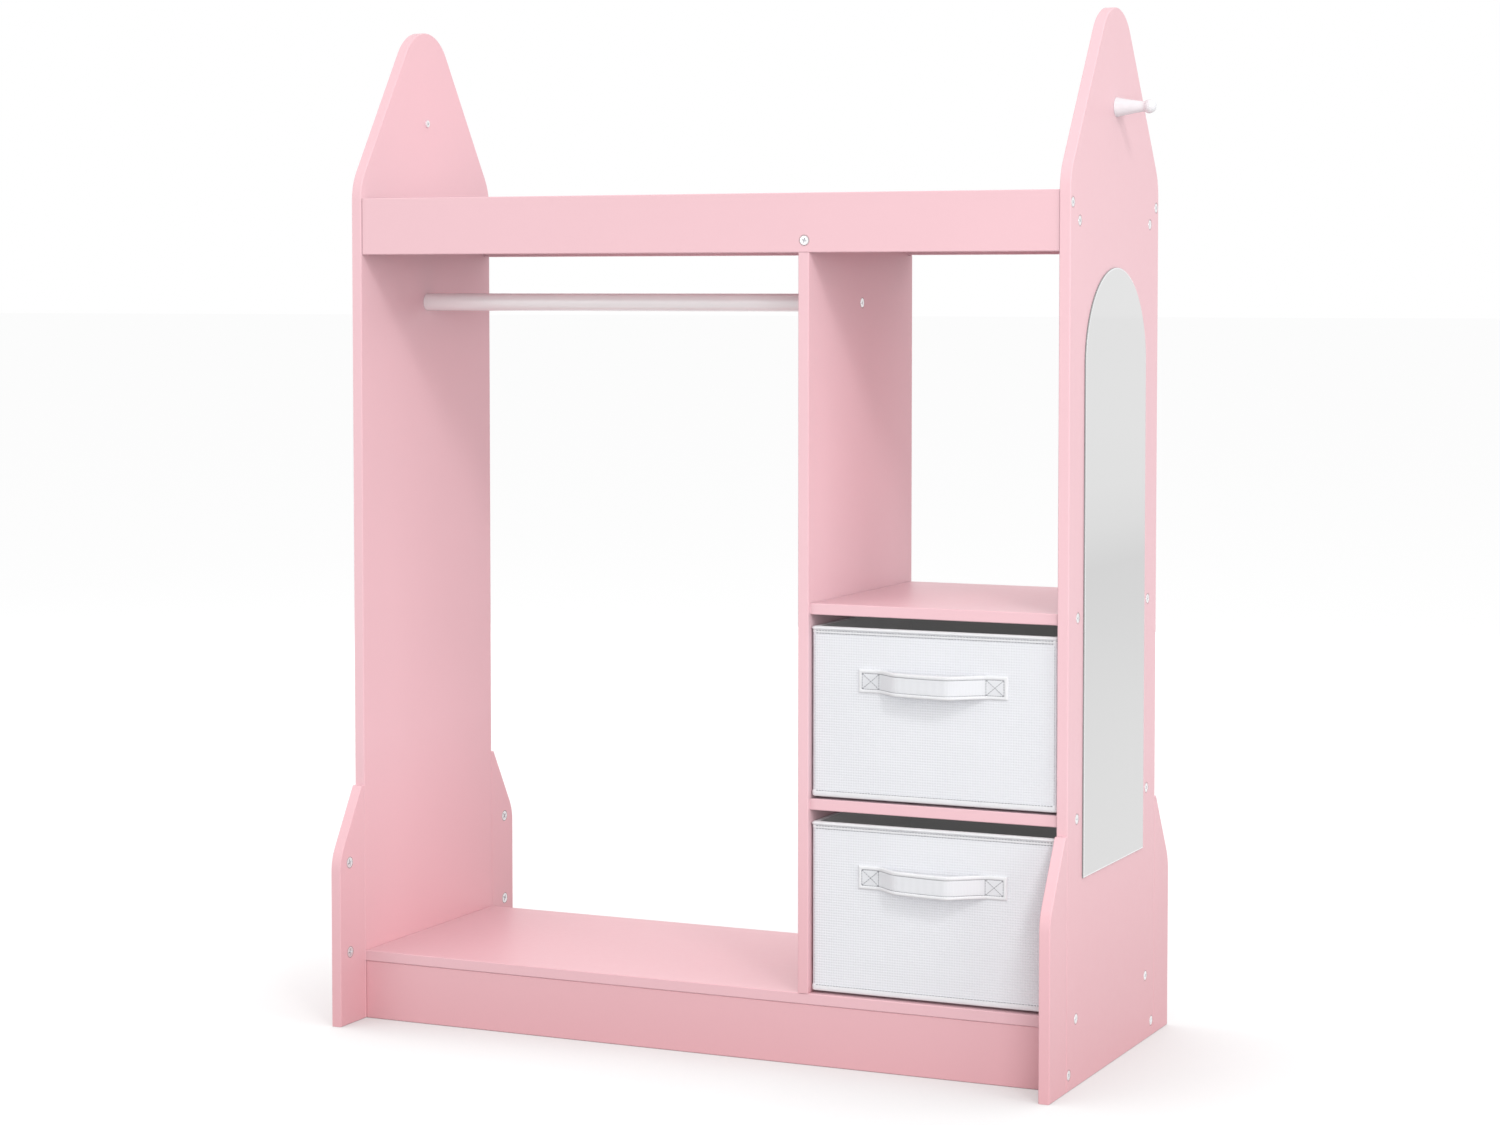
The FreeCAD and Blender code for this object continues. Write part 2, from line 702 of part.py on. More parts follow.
# Fasteners and the holes they need, one master of each kind, driven along +Z from its own origin
board_screw = stepped_bar(
    "board_screw",
    (HEAD_SIDES, "screw_head_radius", "0", "screw_head_height"),
    (SHANK_SIDES, "screw_shank_radius", "screw_head_height", "screw_shank_length"),
)
board_screw_hole = stepped_bar(
    "board_screw_hole",
    (HEAD_SIDES, "screw_seat_radius", "-screw_seat_start", "screw_seat_depth"),
    (SHANK_SIDES, "screw_hole_radius", "screw_head_height", "screw_hole_depth"),
)
peg_screw = stepped_bar(
    "peg_screw",
    (HEAD_SIDES, "peg_screw_head_radius", "-peg_screw_head_height", "peg_screw_head_height"),
    (SHANK_SIDES, "peg_screw_radius", "0", "peg_screw_length"),
)
peg_screw_hole = bar("peg_screw_hole", SHANK_SIDES, "peg_hole_radius", "-bore_spare", "peg_hole_depth")
dowel = bar("dowel", SHANK_SIDES, "dowel_radius", "0", "dowel_length")
dowel_hole = bar("dowel_hole", SHANK_SIDES, "dowel_hole_radius", "-bore_spare", "dowel_hole_depth")
cam = bar("cam", HEAD_SIDES, "cam_radius", "0", "cam_depth")
cam_hole = bar("cam_hole", HEAD_SIDES, "cam_pocket_radius", "-bore_spare", "cam_pocket_depth")
cam_bolt = bar("cam_bolt", SHANK_SIDES, "cam_bolt_radius", "0", "cam_bolt_length")
cam_bolt_hole = bar(
    "cam_bolt_hole", SHANK_SIDES, "cam_bolt_hole_radius", "-bore_spare", "cam_bolt_hole_depth"
)

frame_seats = (
    pairs("rail_y", "rail_screw_z")
    + pairs("screw_y", "rail_mid")
    + pairs("screw_y", "bottom_mid")
    + pairs("rail_y", "kick_screw_height")
)
shelf_seats = pairs("screw_y", "upper_shelf_mid") + pairs("screw_y", "lower_shelf_mid")
left_screws = fasten(
    "left_panel_screws", board_screw, board_screw_hole,
    [("-panel_screw_x", y, z, "+X") for y, z in frame_seats],
)
right_screws = fasten(
    "right_panel_screws", board_screw, board_screw_hole,
    [("panel_screw_x", y, z, "-X") for y, z in frame_seats + shelf_seats],
)
shelf_screws = fasten(
    "shelf_screws", board_screw, board_screw_hole,
    [("shelf_screw_x", y, z, "+X") for y, z in shelf_seats],
)
rod_screws = fasten(
    "rod_screws", board_screw, board_screw_hole,
    [("-panel_screw_x", "0", "rod_z", "+X"), ("rod_screw_x", "0", "rod_z", "-X")],
)
rail_screws = fasten(
    "rail_screws", board_screw, board_screw_hole,
    [
        ("divider_x", "-rail_screw_y", "divider_screw_z", "+Y"),
        ("divider_x", "rail_screw_y", "divider_screw_z", "-Y"),
    ],
)
peg_screws = fasten(
    "peg_screws", peg_screw, peg_screw_hole,
    [("-inner_half", "0", "peg_z", "-X"), ("inner_half", "0", "peg_z", "+X")],
)
end_dowels = {
    label: fasten(
        label, dowel, dowel_hole,
        [
            (x, y, z, direction)
            for x, direction in (("-dowel_end_x", "+X"), ("dowel_end_x", "-X"))
            for y in both("rail_y")
        ],
    )
    for label, z in (("rail_dowels", "rail_dowel_z"), ("kick_dowels", "kick_dowel_height"))
}
rail_dowels, kick_dowels = end_dowels["rail_dowels"], end_dowels["kick_dowels"]
divider_dowels = fasten(
    "divider_dowels", dowel, dowel_hole,
    [("divider_x", y, "dowel_foot_z", "+Z") for y in both("screw_y")],
)
cam_levels = ("cam_upper_z", "cam_lower_height")
cam_locks = fasten(
    "foot_cam_locks", cam, cam_hole,
    [
        (x, y, z, direction)
        for x, direction in (("-inner_half", "-X"), ("inner_half", "+X"))
        for y in both("cam_y")
        for z in cam_levels
    ],
)
cam_bolts = fasten(
    "foot_cam_bolts", cam_bolt, cam_bolt_hole,
    [
        (x, y, z, direction)
        for x in both("panel_x")
        for y, direction in (("-cam_bolt_y", "-Y"), ("cam_bolt_y", "+Y"))
        for z in cam_levels
    ],
)

# Every board, foot, rod and peg, drilled for the fasteners that enter it
drill("left_side_panel", left_panel, left_screws, rod_screws, rail_dowels, kick_dowels, peg_screws, cam_bolts)
drill("right_side_panel", right_panel, right_screws, rail_dowels, kick_dowels, peg_screws, cam_bolts)
for label, blank in feet.items():
    drill(label, blank, cam_locks, cam_bolts)
drill("upper_shelf", upper_shelf, right_screws, shelf_screws)
drill("lower_shelf", lower_shelf, right_screws, shelf_screws)
drill("top_board", top_board, left_screws, right_screws)
drill("bottom_board", bottom_board, left_screws, right_screws, divider_dowels)
drill("front_kick_board", front_kick, left_screws, right_screws, kick_dowels)
drill("rear_kick_board", rear_kick, left_screws, right_screws, kick_dowels)
drill("front_top_rail", front_rail, left_screws, right_screws, rail_dowels, rail_screws)
drill("rear_top_rail", rear_rail, left_screws, right_screws, rail_dowels, rail_screws)
drill("divider_panel", divider, shelf_screws, rod_screws, rail_screws, divider_dowels)
drill("hanging_rod", rod, rod_screws)
drill("peg_hooks", pegs, peg_screws)

# Mirror with a half-round top, on two strips of adhesive
mirror = make_body("mirror")
mirror_sketch = make_sketch(mirror, "YZ_Plane")
radius, spring = amount("mirror_radius"), amount("mirror_spring")
sill = line(mirror_sketch, (-radius, 0), (radius, 0))
jamb = line(mirror_sketch, (radius, 0), (radius, spring))
arch = arc(mirror_sketch, (0, spring), radius, 0, math.pi)
far_jamb = line(mirror_sketch, (-radius, spring), (-radius, 0))
constrain(mirror_sketch, "Coincident", sill, 2, jamb, 1)
constrain(mirror_sketch, "Coincident", far_jamb, 2, sill, 1)
constrain(mirror_sketch, "Tangent", jamb, 2, arch, 1)
constrain(mirror_sketch, "Tangent", arch, 2, far_jamb, 1)
constrain(mirror_sketch, "Vertical", jamb)
constrain(mirror_sketch, "PointOnObject", sill, 1, -1)
constrain(mirror_sketch, "Symmetric", sill, 1, sill, 2, -2)
measure(mirror_sketch, "mirror_width", "DistanceX", sill, 1, sill, 2)
pin(mirror_sketch, arch, 3, "0", "mirror_spring")
mirror_pad = pad(mirror, mirror_sketch, "mirror_thickness")
ease(mirror, mirror_pad, "x", size="mirror_bevel", ends=("Max",))
put(mirror, "mirror_x", "0", "mirror_bottom")
node(mirror, "mirror")

tape = make_body("tape_strip")
tape_sketch = make_sketch(tape, "XY_Plane")
polygon(
    tape_sketch,
    [
        ("0", "-tape_half"),
        ("tape_thickness", "-tape_half"),
        ("tape_thickness", "tape_half"),
        ("0", "tape_half"),
    ],
)
pad(tape, tape_sketch, "tape_length")
tape_strips = copies("mirror_tape", [(tape, "half_width", y, "tape_z", "+Z") for y in both("tape_y")])
node(tape_strips, "mirror_tape")


# Fabric bins: cover, stiffeners, lining, floor board, bindings and strap handle
def open_box(label, outside, height, inside, depth):
    """A box with cut corners and an open top."""
    body = make_body(label)
    sketch = make_sketch(body, "XY_Plane")
    cut_rectangle(sketch, *outside)
    pad(body, sketch, height)
    hollow = make_sketch(body, "XY_Plane", height)
    cut_rectangle(hollow, *inside)
    pocket(body, hollow, depth)
    return node(body, label)


def slab(name, width, depth, height, draw=rectangle):
    body = make_body(name)
    sketch = make_sketch(body, "XY_Plane")
    draw(sketch, width, depth)
    pad(body, sketch, height)
    return body


def bin_handle(label):
    """A flat strap, sewn down at both ends, that swings out between them."""
    body = make_body(label)
    path = make_sketch(body, "XY_Plane")
    end, start, stop = amount("handle_half"), amount("handle_bend_start"), amount("handle_bend_end")
    bulge, swing = amount("handle_bulge"), amount("handle_swing")
    radius = (swing * swing + bulge * bulge) / (4 * bulge)
    turn = 2 * math.atan2(bulge, swing)
    quarter = math.pi / 2
    left_sewn = line(path, (-end, 0), (-start, 0))
    left_out = arc(path, (-start, -radius), radius, quarter - turn, quarter)
    left_in = arc(path, (-stop, radius - bulge), radius, -quarter - turn, -quarter)
    grip = line(path, (-stop, -bulge), (stop, -bulge))
    right_in = arc(path, (stop, radius - bulge), radius, -quarter, turn - quarter)
    right_out = arc(path, (start, -radius), radius, quarter, quarter + turn)
    right_sewn = line(path, (start, 0), (end, 0))
    for first, first_end, second, second_end in (
        (left_sewn, 2, left_out, 2),
        (left_out, 1, left_in, 1),
        (left_in, 2, grip, 1),
        (grip, 2, right_in, 1),
        (right_in, 2, right_out, 2),
        (right_out, 1, right_sewn, 1),
    ):
        constrain(path, "Tangent", first, first_end, second, second_end)
    for bend in (left_in, right_in, right_out):
        constrain(path, "Equal", left_out, bend)
    pin(path, left_sewn, 1, "-handle_half", "0")
    pin(path, left_sewn, 2, "-handle_bend_start", "0")
    pin(path, right_sewn, 1, "handle_bend_start", "0")
    pin(path, right_sewn, 2, "handle_half", "0")
    pin(path, grip, 1, "-handle_bend_end", "-handle_bulge")
    constrain(path, "Horizontal", grip)
    section = make_sketch(body, "YZ_Plane", "-handle_half")
    polygon(
        section,
        [
            ("-strap_thickness", "-strap_half"),
            ("0", "-strap_half"),
            ("0", "strap_half"),
            ("-strap_thickness", "strap_half"),
        ],
    )
    doc.recompute()
    sweep = body.newObject("PartDesign::AdditivePipe", "Strap")
    sweep.Profile = section
    sweep.Spine = (path, [f"Edge{number}" for number in range(1, len(path.Shape.Edges) + 1)])
    doc.recompute()
    return node(body, label)


def fabric_bin(name, level):
    cover = open_box(
        f"{name}_cover",
        ("cover_width", "cover_depth"), "cover_height",
        ("cavity_width", "cavity_depth"), "cavity_height",
    )
    put(cover, "shelf_x", "bin_y", level)

    long_wall = slab(f"{name}_long_stiffener", "long_stiffener", "stiffener_thickness", "stiffener_height")
    short_wall = slab(f"{name}_short_stiffener", "stiffener_thickness", "short_stiffener", "stiffener_height")
    base = f"{level} + stiffener_base"
    stiffeners = copies(
        f"{name}_stiffeners",
        [(long_wall, "shelf_x", f"bin_y + {y}", base, "+Z") for y in both("stiffener_y")]
        + [(short_wall, f"shelf_x + {x}", "bin_y", base, "+Z") for x in both("stiffener_x")],
    )
    node(stiffeners, f"{name}_stiffeners")

    lining = open_box(
        f"{name}_lining",
        ("lining_width", "lining_depth"), "lining_height",
        ("inside_width", "inside_depth"), "inside_height",
    )
    put(lining, "shelf_x", "bin_y", base)

    floor = slab(
        f"{name}_floor_board",
        "floor_board_width", "floor_board_depth", "floor_board_thickness", cut_rectangle,
    )
    put(node(floor, f"{name}_floor_board"), "shelf_x", "bin_y", f"{level} + floor_board_base")

    top = slab(f"{name}_top_binding", "bin_width", "bin_depth", "top_binding_height", cut_rectangle)
    mouth = make_sketch(top, "XY_Plane", "top_binding_height")
    cut_rectangle(mouth, "mouth_width", "mouth_depth")
    pocket(top, mouth, "top_binding_height")
    groove = make_sketch(top, "XY_Plane")
    cut_rectangle(groove, "rim_outer_width", "rim_outer_depth")
    cut_rectangle(groove, "rim_inner_width", "rim_inner_depth")
    pocket(top, groove, "rim_groove_depth", reversed_way=True)
    put(node(top, f"{name}_top_binding"), "shelf_x", "bin_y", f"{level} + top_binding_base")

    foot = make_body(f"{name}_bottom_binding")
    ring = make_sketch(foot, "XY_Plane")
    cut_rectangle(ring, "bin_width", "bin_depth")
    cut_rectangle(ring, "rim_outer_width", "rim_outer_depth")
    pad(foot, ring, "bottom_binding_height")
    put(node(foot, f"{name}_bottom_binding"), "shelf_x", "bin_y", level)

    handle = bin_handle(f"{name}_handle")
    put(handle, "shelf_x", "handle_y", f"{level} + handle_rise")


fabric_bin("upper_bin", "upper_bin_z")
fabric_bin("lower_bin", "lower_bin_z")

# Every object has to be sound before anything is written
doc.recompute()
for item in doc.Objects:
    if {"Invalid", "Error"} & set(item.State):
        raise ValueError(f"{item.Label} failed: {item.State}")
for item in nodes:
    if item.Shape.isNull() or not item.Shape.isValid() or not item.Shape.Solids:
        raise ValueError(f"{item.Label} has no sound solid")
os.makedirs("parts", exist_ok=True)
for item in nodes:
    item.Shape.exportStep(f"parts/{item.Label}.step")
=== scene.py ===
"""Looks of the kids wardrobe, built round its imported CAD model. Metres, in the CAD frame."""

import bisect
import math
import random

import bmesh
import bpy
from mathutils import Matrix, Vector


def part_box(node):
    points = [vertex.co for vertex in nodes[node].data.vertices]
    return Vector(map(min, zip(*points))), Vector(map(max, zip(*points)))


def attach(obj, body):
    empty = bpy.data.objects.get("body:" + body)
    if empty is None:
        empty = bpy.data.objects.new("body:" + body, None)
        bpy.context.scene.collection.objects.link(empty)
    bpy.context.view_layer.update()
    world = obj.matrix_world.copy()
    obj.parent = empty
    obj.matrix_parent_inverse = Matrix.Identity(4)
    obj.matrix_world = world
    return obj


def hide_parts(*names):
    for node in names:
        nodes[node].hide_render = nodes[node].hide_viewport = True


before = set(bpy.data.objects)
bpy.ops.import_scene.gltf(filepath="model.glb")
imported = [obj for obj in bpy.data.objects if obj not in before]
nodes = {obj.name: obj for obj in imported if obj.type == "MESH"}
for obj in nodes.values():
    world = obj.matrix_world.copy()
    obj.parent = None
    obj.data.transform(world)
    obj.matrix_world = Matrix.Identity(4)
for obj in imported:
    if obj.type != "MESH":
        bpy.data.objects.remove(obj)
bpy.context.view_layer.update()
MM = 0.001
chance = random.Random(7)


# Shader helpers
def make_material(name, color, roughness, **sockets):
    material = bpy.data.materials.new(name)
    material.use_nodes = True
    tree = material.node_tree
    shader = tree.nodes["Principled BSDF"]
    shader.inputs["Base Color"].default_value = (*color, 1)
    shader.inputs["Roughness"].default_value = roughness
    for socket, value in sockets.items():
        shader.inputs[socket.replace("_", " ")].default_value = value
    return material, tree, shader


def add_node(tree, kind, **settings):
    node = tree.nodes.new(kind)
    for name, value in settings.items():
        if name in node.inputs:
            node.inputs[name].default_value = value
        else:
            setattr(node, name, value)
    return node


def noise(tree, scale, detail=2.0, roughness=0.5):
    """Even noise in the object's own metres."""
    place = add_node(tree, "ShaderNodeTexCoord")
    grain = add_node(tree, "ShaderNodeTexNoise", Scale=scale, Detail=detail, Roughness=roughness)
    tree.links.new(place.outputs["Object"], grain.inputs["Vector"])
    return grain.outputs["Fac"]


def math_node(tree, operation, first, second=None):
    node = add_node(tree, "ShaderNodeMath", operation=operation)
    for index, value in enumerate((first, second)):
        if value is None:
            continue
        if isinstance(value, (int, float)):
            node.inputs[index].default_value = value
        else:
            tree.links.new(value, node.inputs[index])
    return node.outputs[0]


def object_axes(tree):
    """The object's own X, Y and Z in metres."""
    place = add_node(tree, "ShaderNodeTexCoord")
    split = add_node(tree, "ShaderNodeSeparateXYZ")
    tree.links.new(place.outputs["Object"], split.inputs[0])
    return split.outputs


def spread(tree, fac, low, high, reach=1.0, start=0.0):
    """Maps the stretch from the start to the reach on to a range of numbers."""
    node = add_node(tree, "ShaderNodeMapRange")
    for socket, value in (("From Min", start), ("From Max", reach), ("To Min", low), ("To Max", high)):
        node.inputs[socket].default_value = value
    tree.links.new(fac, node.inputs["Value"])
    return node.outputs["Result"]


def ramp_mix(tree, fac, first, second):
    """A colour between two others."""
    node = add_node(tree, "ShaderNodeMix", data_type="RGBA")
    for index, value in ((0, fac), (6, first), (7, second)):
        if isinstance(value, tuple):
            node.inputs[index].default_value = (*value, 1)
        elif isinstance(value, float):
            node.inputs[index].default_value = value
        else:
            tree.links.new(value, node.inputs[index])
    return node.outputs[2]


def vary_color(tree, shader, fac, first, second):
    tree.links.new(ramp_mix(tree, fac, first, second), shader.inputs["Base Color"])


def vary_roughness(tree, shader, fac, low, high):
    tree.links.new(spread(tree, fac, low, high), shader.inputs["Roughness"])


def bump(tree, shader, height, strength, distance):
    node = add_node(tree, "ShaderNodeBump", Strength=strength, Distance=distance)
    tree.links.new(height, node.inputs["Height"])
    tree.links.new(node.outputs["Normal"], shader.inputs["Normal"])


def tint(color, share):
    return tuple(min(1.0, channel * share) for channel in color)


# Board paint: plain, on eased edges, with painted shade in nooks and painted shade near the floor, and how
# far the last two reach
PINK = (0.86, 0.555, 0.60)
PINK_EDGE = (0.855, 0.555, 0.60)
PINK_NOOK_SHADE = (0.66, 0.51, 0.545)
PINK_LOW_SHADE = (0.775, 0.425, 0.46)
NOOK_SHADE_REACH = 0.16
LOW_SHADE_REACH = 0.32


def painted_board(name, axis):
    """Satin paint: a faint roller texture, a trace of wear on eased edges, painted shade in nooks and
    painted shade low down.

    The axis is the one across the board. A level board takes only half of the painted low shade.
    """
    material, tree, shader = make_material(name, PINK, 0.45, Specular_IOR_Level=0.25)
    plain = ramp_mix(tree, noise(tree, 9, 3), tint(PINK, 0.985), tint(PINK, 1.015))
    geometry = add_node(tree, "ShaderNodeNewGeometry")
    split = add_node(tree, "ShaderNodeSeparateXYZ")
    tree.links.new(geometry.outputs["True Normal"], split.inputs[0])
    lean = math_node(tree, "ABSOLUTE", split.outputs["XYZ".index(axis)])
    off_side = math_node(tree, "GREATER_THAN", lean, 0.4)
    off_face = math_node(tree, "LESS_THAN", lean, 0.95)
    on_edge = math_node(tree, "MULTIPLY", off_side, off_face)
    worn = math_node(tree, "MULTIPLY", on_edge, spread(tree, noise(tree, 60), 0.45, 0.85))
    painted = ramp_mix(tree, worn, plain, PINK_EDGE)
    # Painted shade: ambient occlusion darkens the paint in nooks, corners and between parts.
    shade_openness = add_node(tree, "ShaderNodeAmbientOcclusion", Distance=NOOK_SHADE_REACH)
    painted = ramp_mix(tree, shade_openness.outputs["AO"], PINK_NOOK_SHADE, painted)
    # Painted shade: the paint darkens towards the floor by height alone.
    clear = spread(tree, object_axes(tree)["Z"], 0.5 if axis == "Z" else 0.0, 1.0, LOW_SHADE_REACH)
    vary_color(tree, shader, clear, PINK_LOW_SHADE, painted)
    vary_roughness(tree, shader, noise(tree, 140, 3), 0.36, 0.50)
    bump(tree, shader, noise(tree, 520, 2), 0.12, 0.0004)
    return material


def gloss_paint(name, color, roughness, gloss):
    """White paint over turned wood, with a faint grain along it."""
    material, tree, shader = make_material(
        name, color, roughness, Coat_Weight=gloss, Coat_Roughness=0.2, Specular_IOR_Level=gloss
    )
    vary_color(tree, shader, noise(tree, 45, 3), tint(color, 0.97), color)
    vary_roughness(tree, shader, noise(tree, 300), roughness * 0.85, roughness * 1.2)
    bump(tree, shader, noise(tree, 420, 3), 0.06, 0.0003)
    return material


def plated(name, color, roughness, metallic):
    """Plated or painted metal with fine scratches."""
    material, tree, shader = make_material(name, color, roughness, Metallic=metallic)
    vary_color(tree, shader, noise(tree, 700, 4), tint(color, 0.9), tint(color, 1.05))
    vary_roughness(tree, shader, noise(tree, 1800, 3), roughness * 0.8, roughness * 1.3)
    bump(tree, shader, noise(tree, 1500, 2), 0.08, 0.0001)
    return material


def bare_wood(name, color):
    """Unpainted wood or pressed card, with wavering rings."""
    material, tree, shader = make_material(name, color, 0.6)
    place = add_node(tree, "ShaderNodeTexCoord")
    rings = add_node(tree, "ShaderNodeTexWave", Scale=90, Distortion=6, Detail=3)
    tree.links.new(place.outputs["Object"], rings.inputs["Vector"])
    vary_color(tree, shader, rings.outputs["Fac"], tint(color, 0.8), tint(color, 1.1))
    bump(tree, shader, rings.outputs["Fac"], 0.15, 0.0003)
    return material


def woven(name, color, pitch, depth, contrast, roughness=0.85, sheen=0.2, glow=0.0):
    """A plain weave that needs no unwrapping: waves along all three axes cross on each face.

    The glow is painted light: the cloth gives off a faint light of its own, standing in for light that seeps
    through thin cloth.
    """
    material, tree, shader = make_material(
        name, color, roughness, Sheen_Weight=sheen, Sheen_Roughness=0.5, Emission_Strength=glow
    )
    waves = []
    for along in object_axes(tree):
        waves.append(math_node(tree, "SINE", math_node(tree, "MULTIPLY", along, 2 * math.pi / pitch)))
    weave = math_node(tree, "ADD", math_node(tree, "ADD", waves[0], waves[1]), waves[2])
    fuzz = math_node(tree, "MULTIPLY", noise(tree, 1400, 3, 0.7), 2.4)
    height = math_node(tree, "ADD", weave, fuzz)
    crest = spread(tree, height, 0.0, 1.0, 4.0, -1.6)
    yarn = ramp_mix(tree, crest, tint(color, 1 - contrast), tint(color, 1 + contrast * 0.5))
    soft = ramp_mix(tree, noise(tree, 14, 2), tint(color, 0.97), color)
    vary_color(tree, shader, 0.5, yarn, soft)
    bump(tree, shader, height, 0.5, depth)
    return material


# Painted reflection. Pairs of shares: a place up the mirror, and how bright its silver is there
PAINTED_REFLECTION_SHARES = (
    (0.0, 0.83), (0.31, 0.82), (0.45, 0.833), (0.505, 0.828), (0.57, 0.922), (0.64, 0.978), (0.74, 1.0),
)


def silvered(name, color, low, high):
    """Silvered sheet with the faintest ripple, and a painted reflection that makes it a little duller in its
    lower half.
    """
    material, tree, shader = make_material(name, color, 0.03, Metallic=1.0)
    ramp = add_node(tree, "ShaderNodeValToRGB")
    for place_share, _ in PAINTED_REFLECTION_SHARES[2:]:
        ramp.color_ramp.elements.new(place_share)
    for element, (place_share, reflection_share) in zip(ramp.color_ramp.elements, PAINTED_REFLECTION_SHARES):
        element.position = place_share
        element.color = (*tint(color, reflection_share), 1)
    rise = spread(tree, object_axes(tree)["Z"], 0.0, 1.0, high, low)
    tree.links.new(rise, ramp.inputs["Fac"])
    tree.links.new(ramp.outputs["Color"], shader.inputs["Base Color"])
    vary_roughness(tree, shader, noise(tree, 40, 2), 0.02, 0.05)
    return material


# Materials
board_paint = {axis: painted_board(f"pink_paint_{axis.lower()}", axis) for axis in "XYZ"}
rod_paint = gloss_paint("rod_paint", (0.95, 0.96, 0.96), 0.32, 1.0)
peg_paint = gloss_paint("peg_paint", (0.82, 0.82, 0.84), 0.2, 0.4)
screw_metal = plated("screw_finish", (0.92, 0.92, 0.93), 0.3, 0.9)
# Duller metal for cross recesses, darker than the heads: partly painted shade in the recess.
recess_shade_metal = plated("recess_shade_finish", (0.70, 0.70, 0.72), 0.5, 0.6)
cam_metal = plated("cam_finish", (0.80, 0.80, 0.81), 0.32, 0.6)
bolt_metal = plated("bolt_finish", (0.55, 0.56, 0.58), 0.35, 1.0)
# The dark cut ring round screws and cams: bare board at the cut, darkened as painted shade in the gap round
# each head.
shaded_cut_rim = bare_wood("shaded_cut_rim", (0.23, 0.14, 0.13))
dowel_wood = bare_wood("dowel_wood", (0.68, 0.50, 0.31))
card = bare_wood("pressed_card", (0.42, 0.33, 0.23))
foam = woven("foam_tape", (0.72, 0.72, 0.70), 0.0012, 0.0002, 0.1)
mirror_low, mirror_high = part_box("mirror")
mirror_silver = silvered("mirror_silver", (0.74, 0.74, 0.74), mirror_low.z, mirror_high.z)
mirror_edge = plated("mirror_edge", (0.36, 0.40, 0.39), 0.2, 0.1)
mirror_bevel = plated("mirror_bevel", (0.90, 0.91, 0.92), 0.12, 0.8)
cover_cloth = woven("cover_cloth", (0.82, 0.83, 0.865), 0.0028, 0.00018, 0.10)
tape_cloth = woven("tape_cloth", (0.87, 0.875, 0.895), 0.0009, 0.00016, 0.08)
strap_cloth = woven("strap_cloth", (0.84, 0.85, 0.88), 0.0009, 0.00016, 0.08)
# The lining's glow is painted light, so that its dark cloth shows in the shaded gaps above the bins.
lining_cloth = woven("lining_cloth", (0.2, 0.2, 0.205), 0.0013, 0.0002, 0.2, sheen=0.35, glow=0.055)
thread = woven("thread", (0.34, 0.345, 0.37), 0.0006, 0.0001, 0.15)


# CAD nodes that stay in view
CRISP_EDGE = math.radians(20)
WELD = 1e-6


def smooth_group():
    """Shades round faces smooth and leaves sharper edges crisp, without touching a mesh."""
    group = bpy.data.node_groups.new("smooth_rounds", "GeometryNodeTree")
    group.interface.new_socket("Geometry", in_out="INPUT", socket_type="NodeSocketGeometry")
    group.interface.new_socket("Geometry", in_out="OUTPUT", socket_type="NodeSocketGeometry")
    start = group.nodes.new("NodeGroupInput")
    weld = group.nodes.new("GeometryNodeMergeByDistance")
    weld.inputs["Distance"].default_value = WELD
    faces = group.nodes.new("GeometryNodeSetShadeSmooth")
    edges = group.nodes.new("GeometryNodeSetShadeSmooth")
    edges.domain = "EDGE"
    angle = group.nodes.new("GeometryNodeInputMeshEdgeAngle")
    small = group.nodes.new("FunctionNodeCompare")
    small.operation = "LESS_THAN"
    small.inputs[1].default_value = CRISP_EDGE
    end = group.nodes.new("NodeGroupOutput")
    link = group.links.new
    link(start.outputs[0], weld.inputs["Geometry"])
    link(weld.outputs["Geometry"], faces.inputs["Geometry"])
    link(faces.outputs["Geometry"], edges.inputs["Geometry"])
    link(angle.outputs["Unsigned Angle"], small.inputs[0])
    link(small.outputs["Result"], edges.inputs["Shade Smooth"])
    link(edges.outputs["Geometry"], end.inputs[0])
    return group


def dress(node, material):
    mesh = nodes[node].data
    mesh.materials.clear()
    mesh.materials.append(material)


rounds = smooth_group()
board_axes = {
    "X": (
        "left_side_panel", "right_side_panel", "front_left_foot", "rear_left_foot", "front_right_foot",
        "rear_right_foot", "divider_panel",
    ),
    "Y": ("front_kick_board", "rear_kick_board", "front_top_rail", "rear_top_rail"),
    "Z": ("upper_shelf", "lower_shelf", "top_board", "bottom_board"),
}
for axis, names in board_axes.items():
    for name in names:
        dress(name, board_paint[axis])
        nodes[name].modifiers.new("smooth_rounds", "NODES").node_group = rounds
for name in ("rail_dowels", "kick_dowels", "divider_dowels"):
    dress(name, dowel_wood)
dress("foot_cam_bolts", bolt_metal)
dress("mirror_tape", foam)


# Mesh helpers
def make_piece(name, mesh, body, materials, replaced=(), sharp=35):
    """A smooth-shaded object that rides on a CAD body."""
    for polygon in mesh.polygons:
        polygon.use_smooth = True
    mesh.set_sharp_from_angle(angle=math.radians(sharp))
    for material in materials:
        mesh.materials.append(material)
    piece = bpy.data.objects.new(name, mesh)
    bpy.context.scene.collection.objects.link(piece)
    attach(piece, body)
    if replaced:
        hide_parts(*replaced)
    return piece


def from_bmesh(name, made):
    bmesh.ops.recalc_face_normals(made, faces=made.faces[:])
    mesh = bpy.data.meshes.new(name)
    made.to_mesh(mesh)
    made.free()
    return mesh


def ring_faces(made, first, second, material=0):
    """Quads between two closed rings of vertices."""
    for index in range(len(first)):
        following = (index + 1) % len(first)
        face = made.faces.new((first[index], first[following], second[following], second[index]))
        face.material_index = material


def skin(made, rings, material=0):
    """Quads between each ring and the next."""
    for first, second in zip(rings, rings[1:]):
        ring_faces(made, first, second, material)


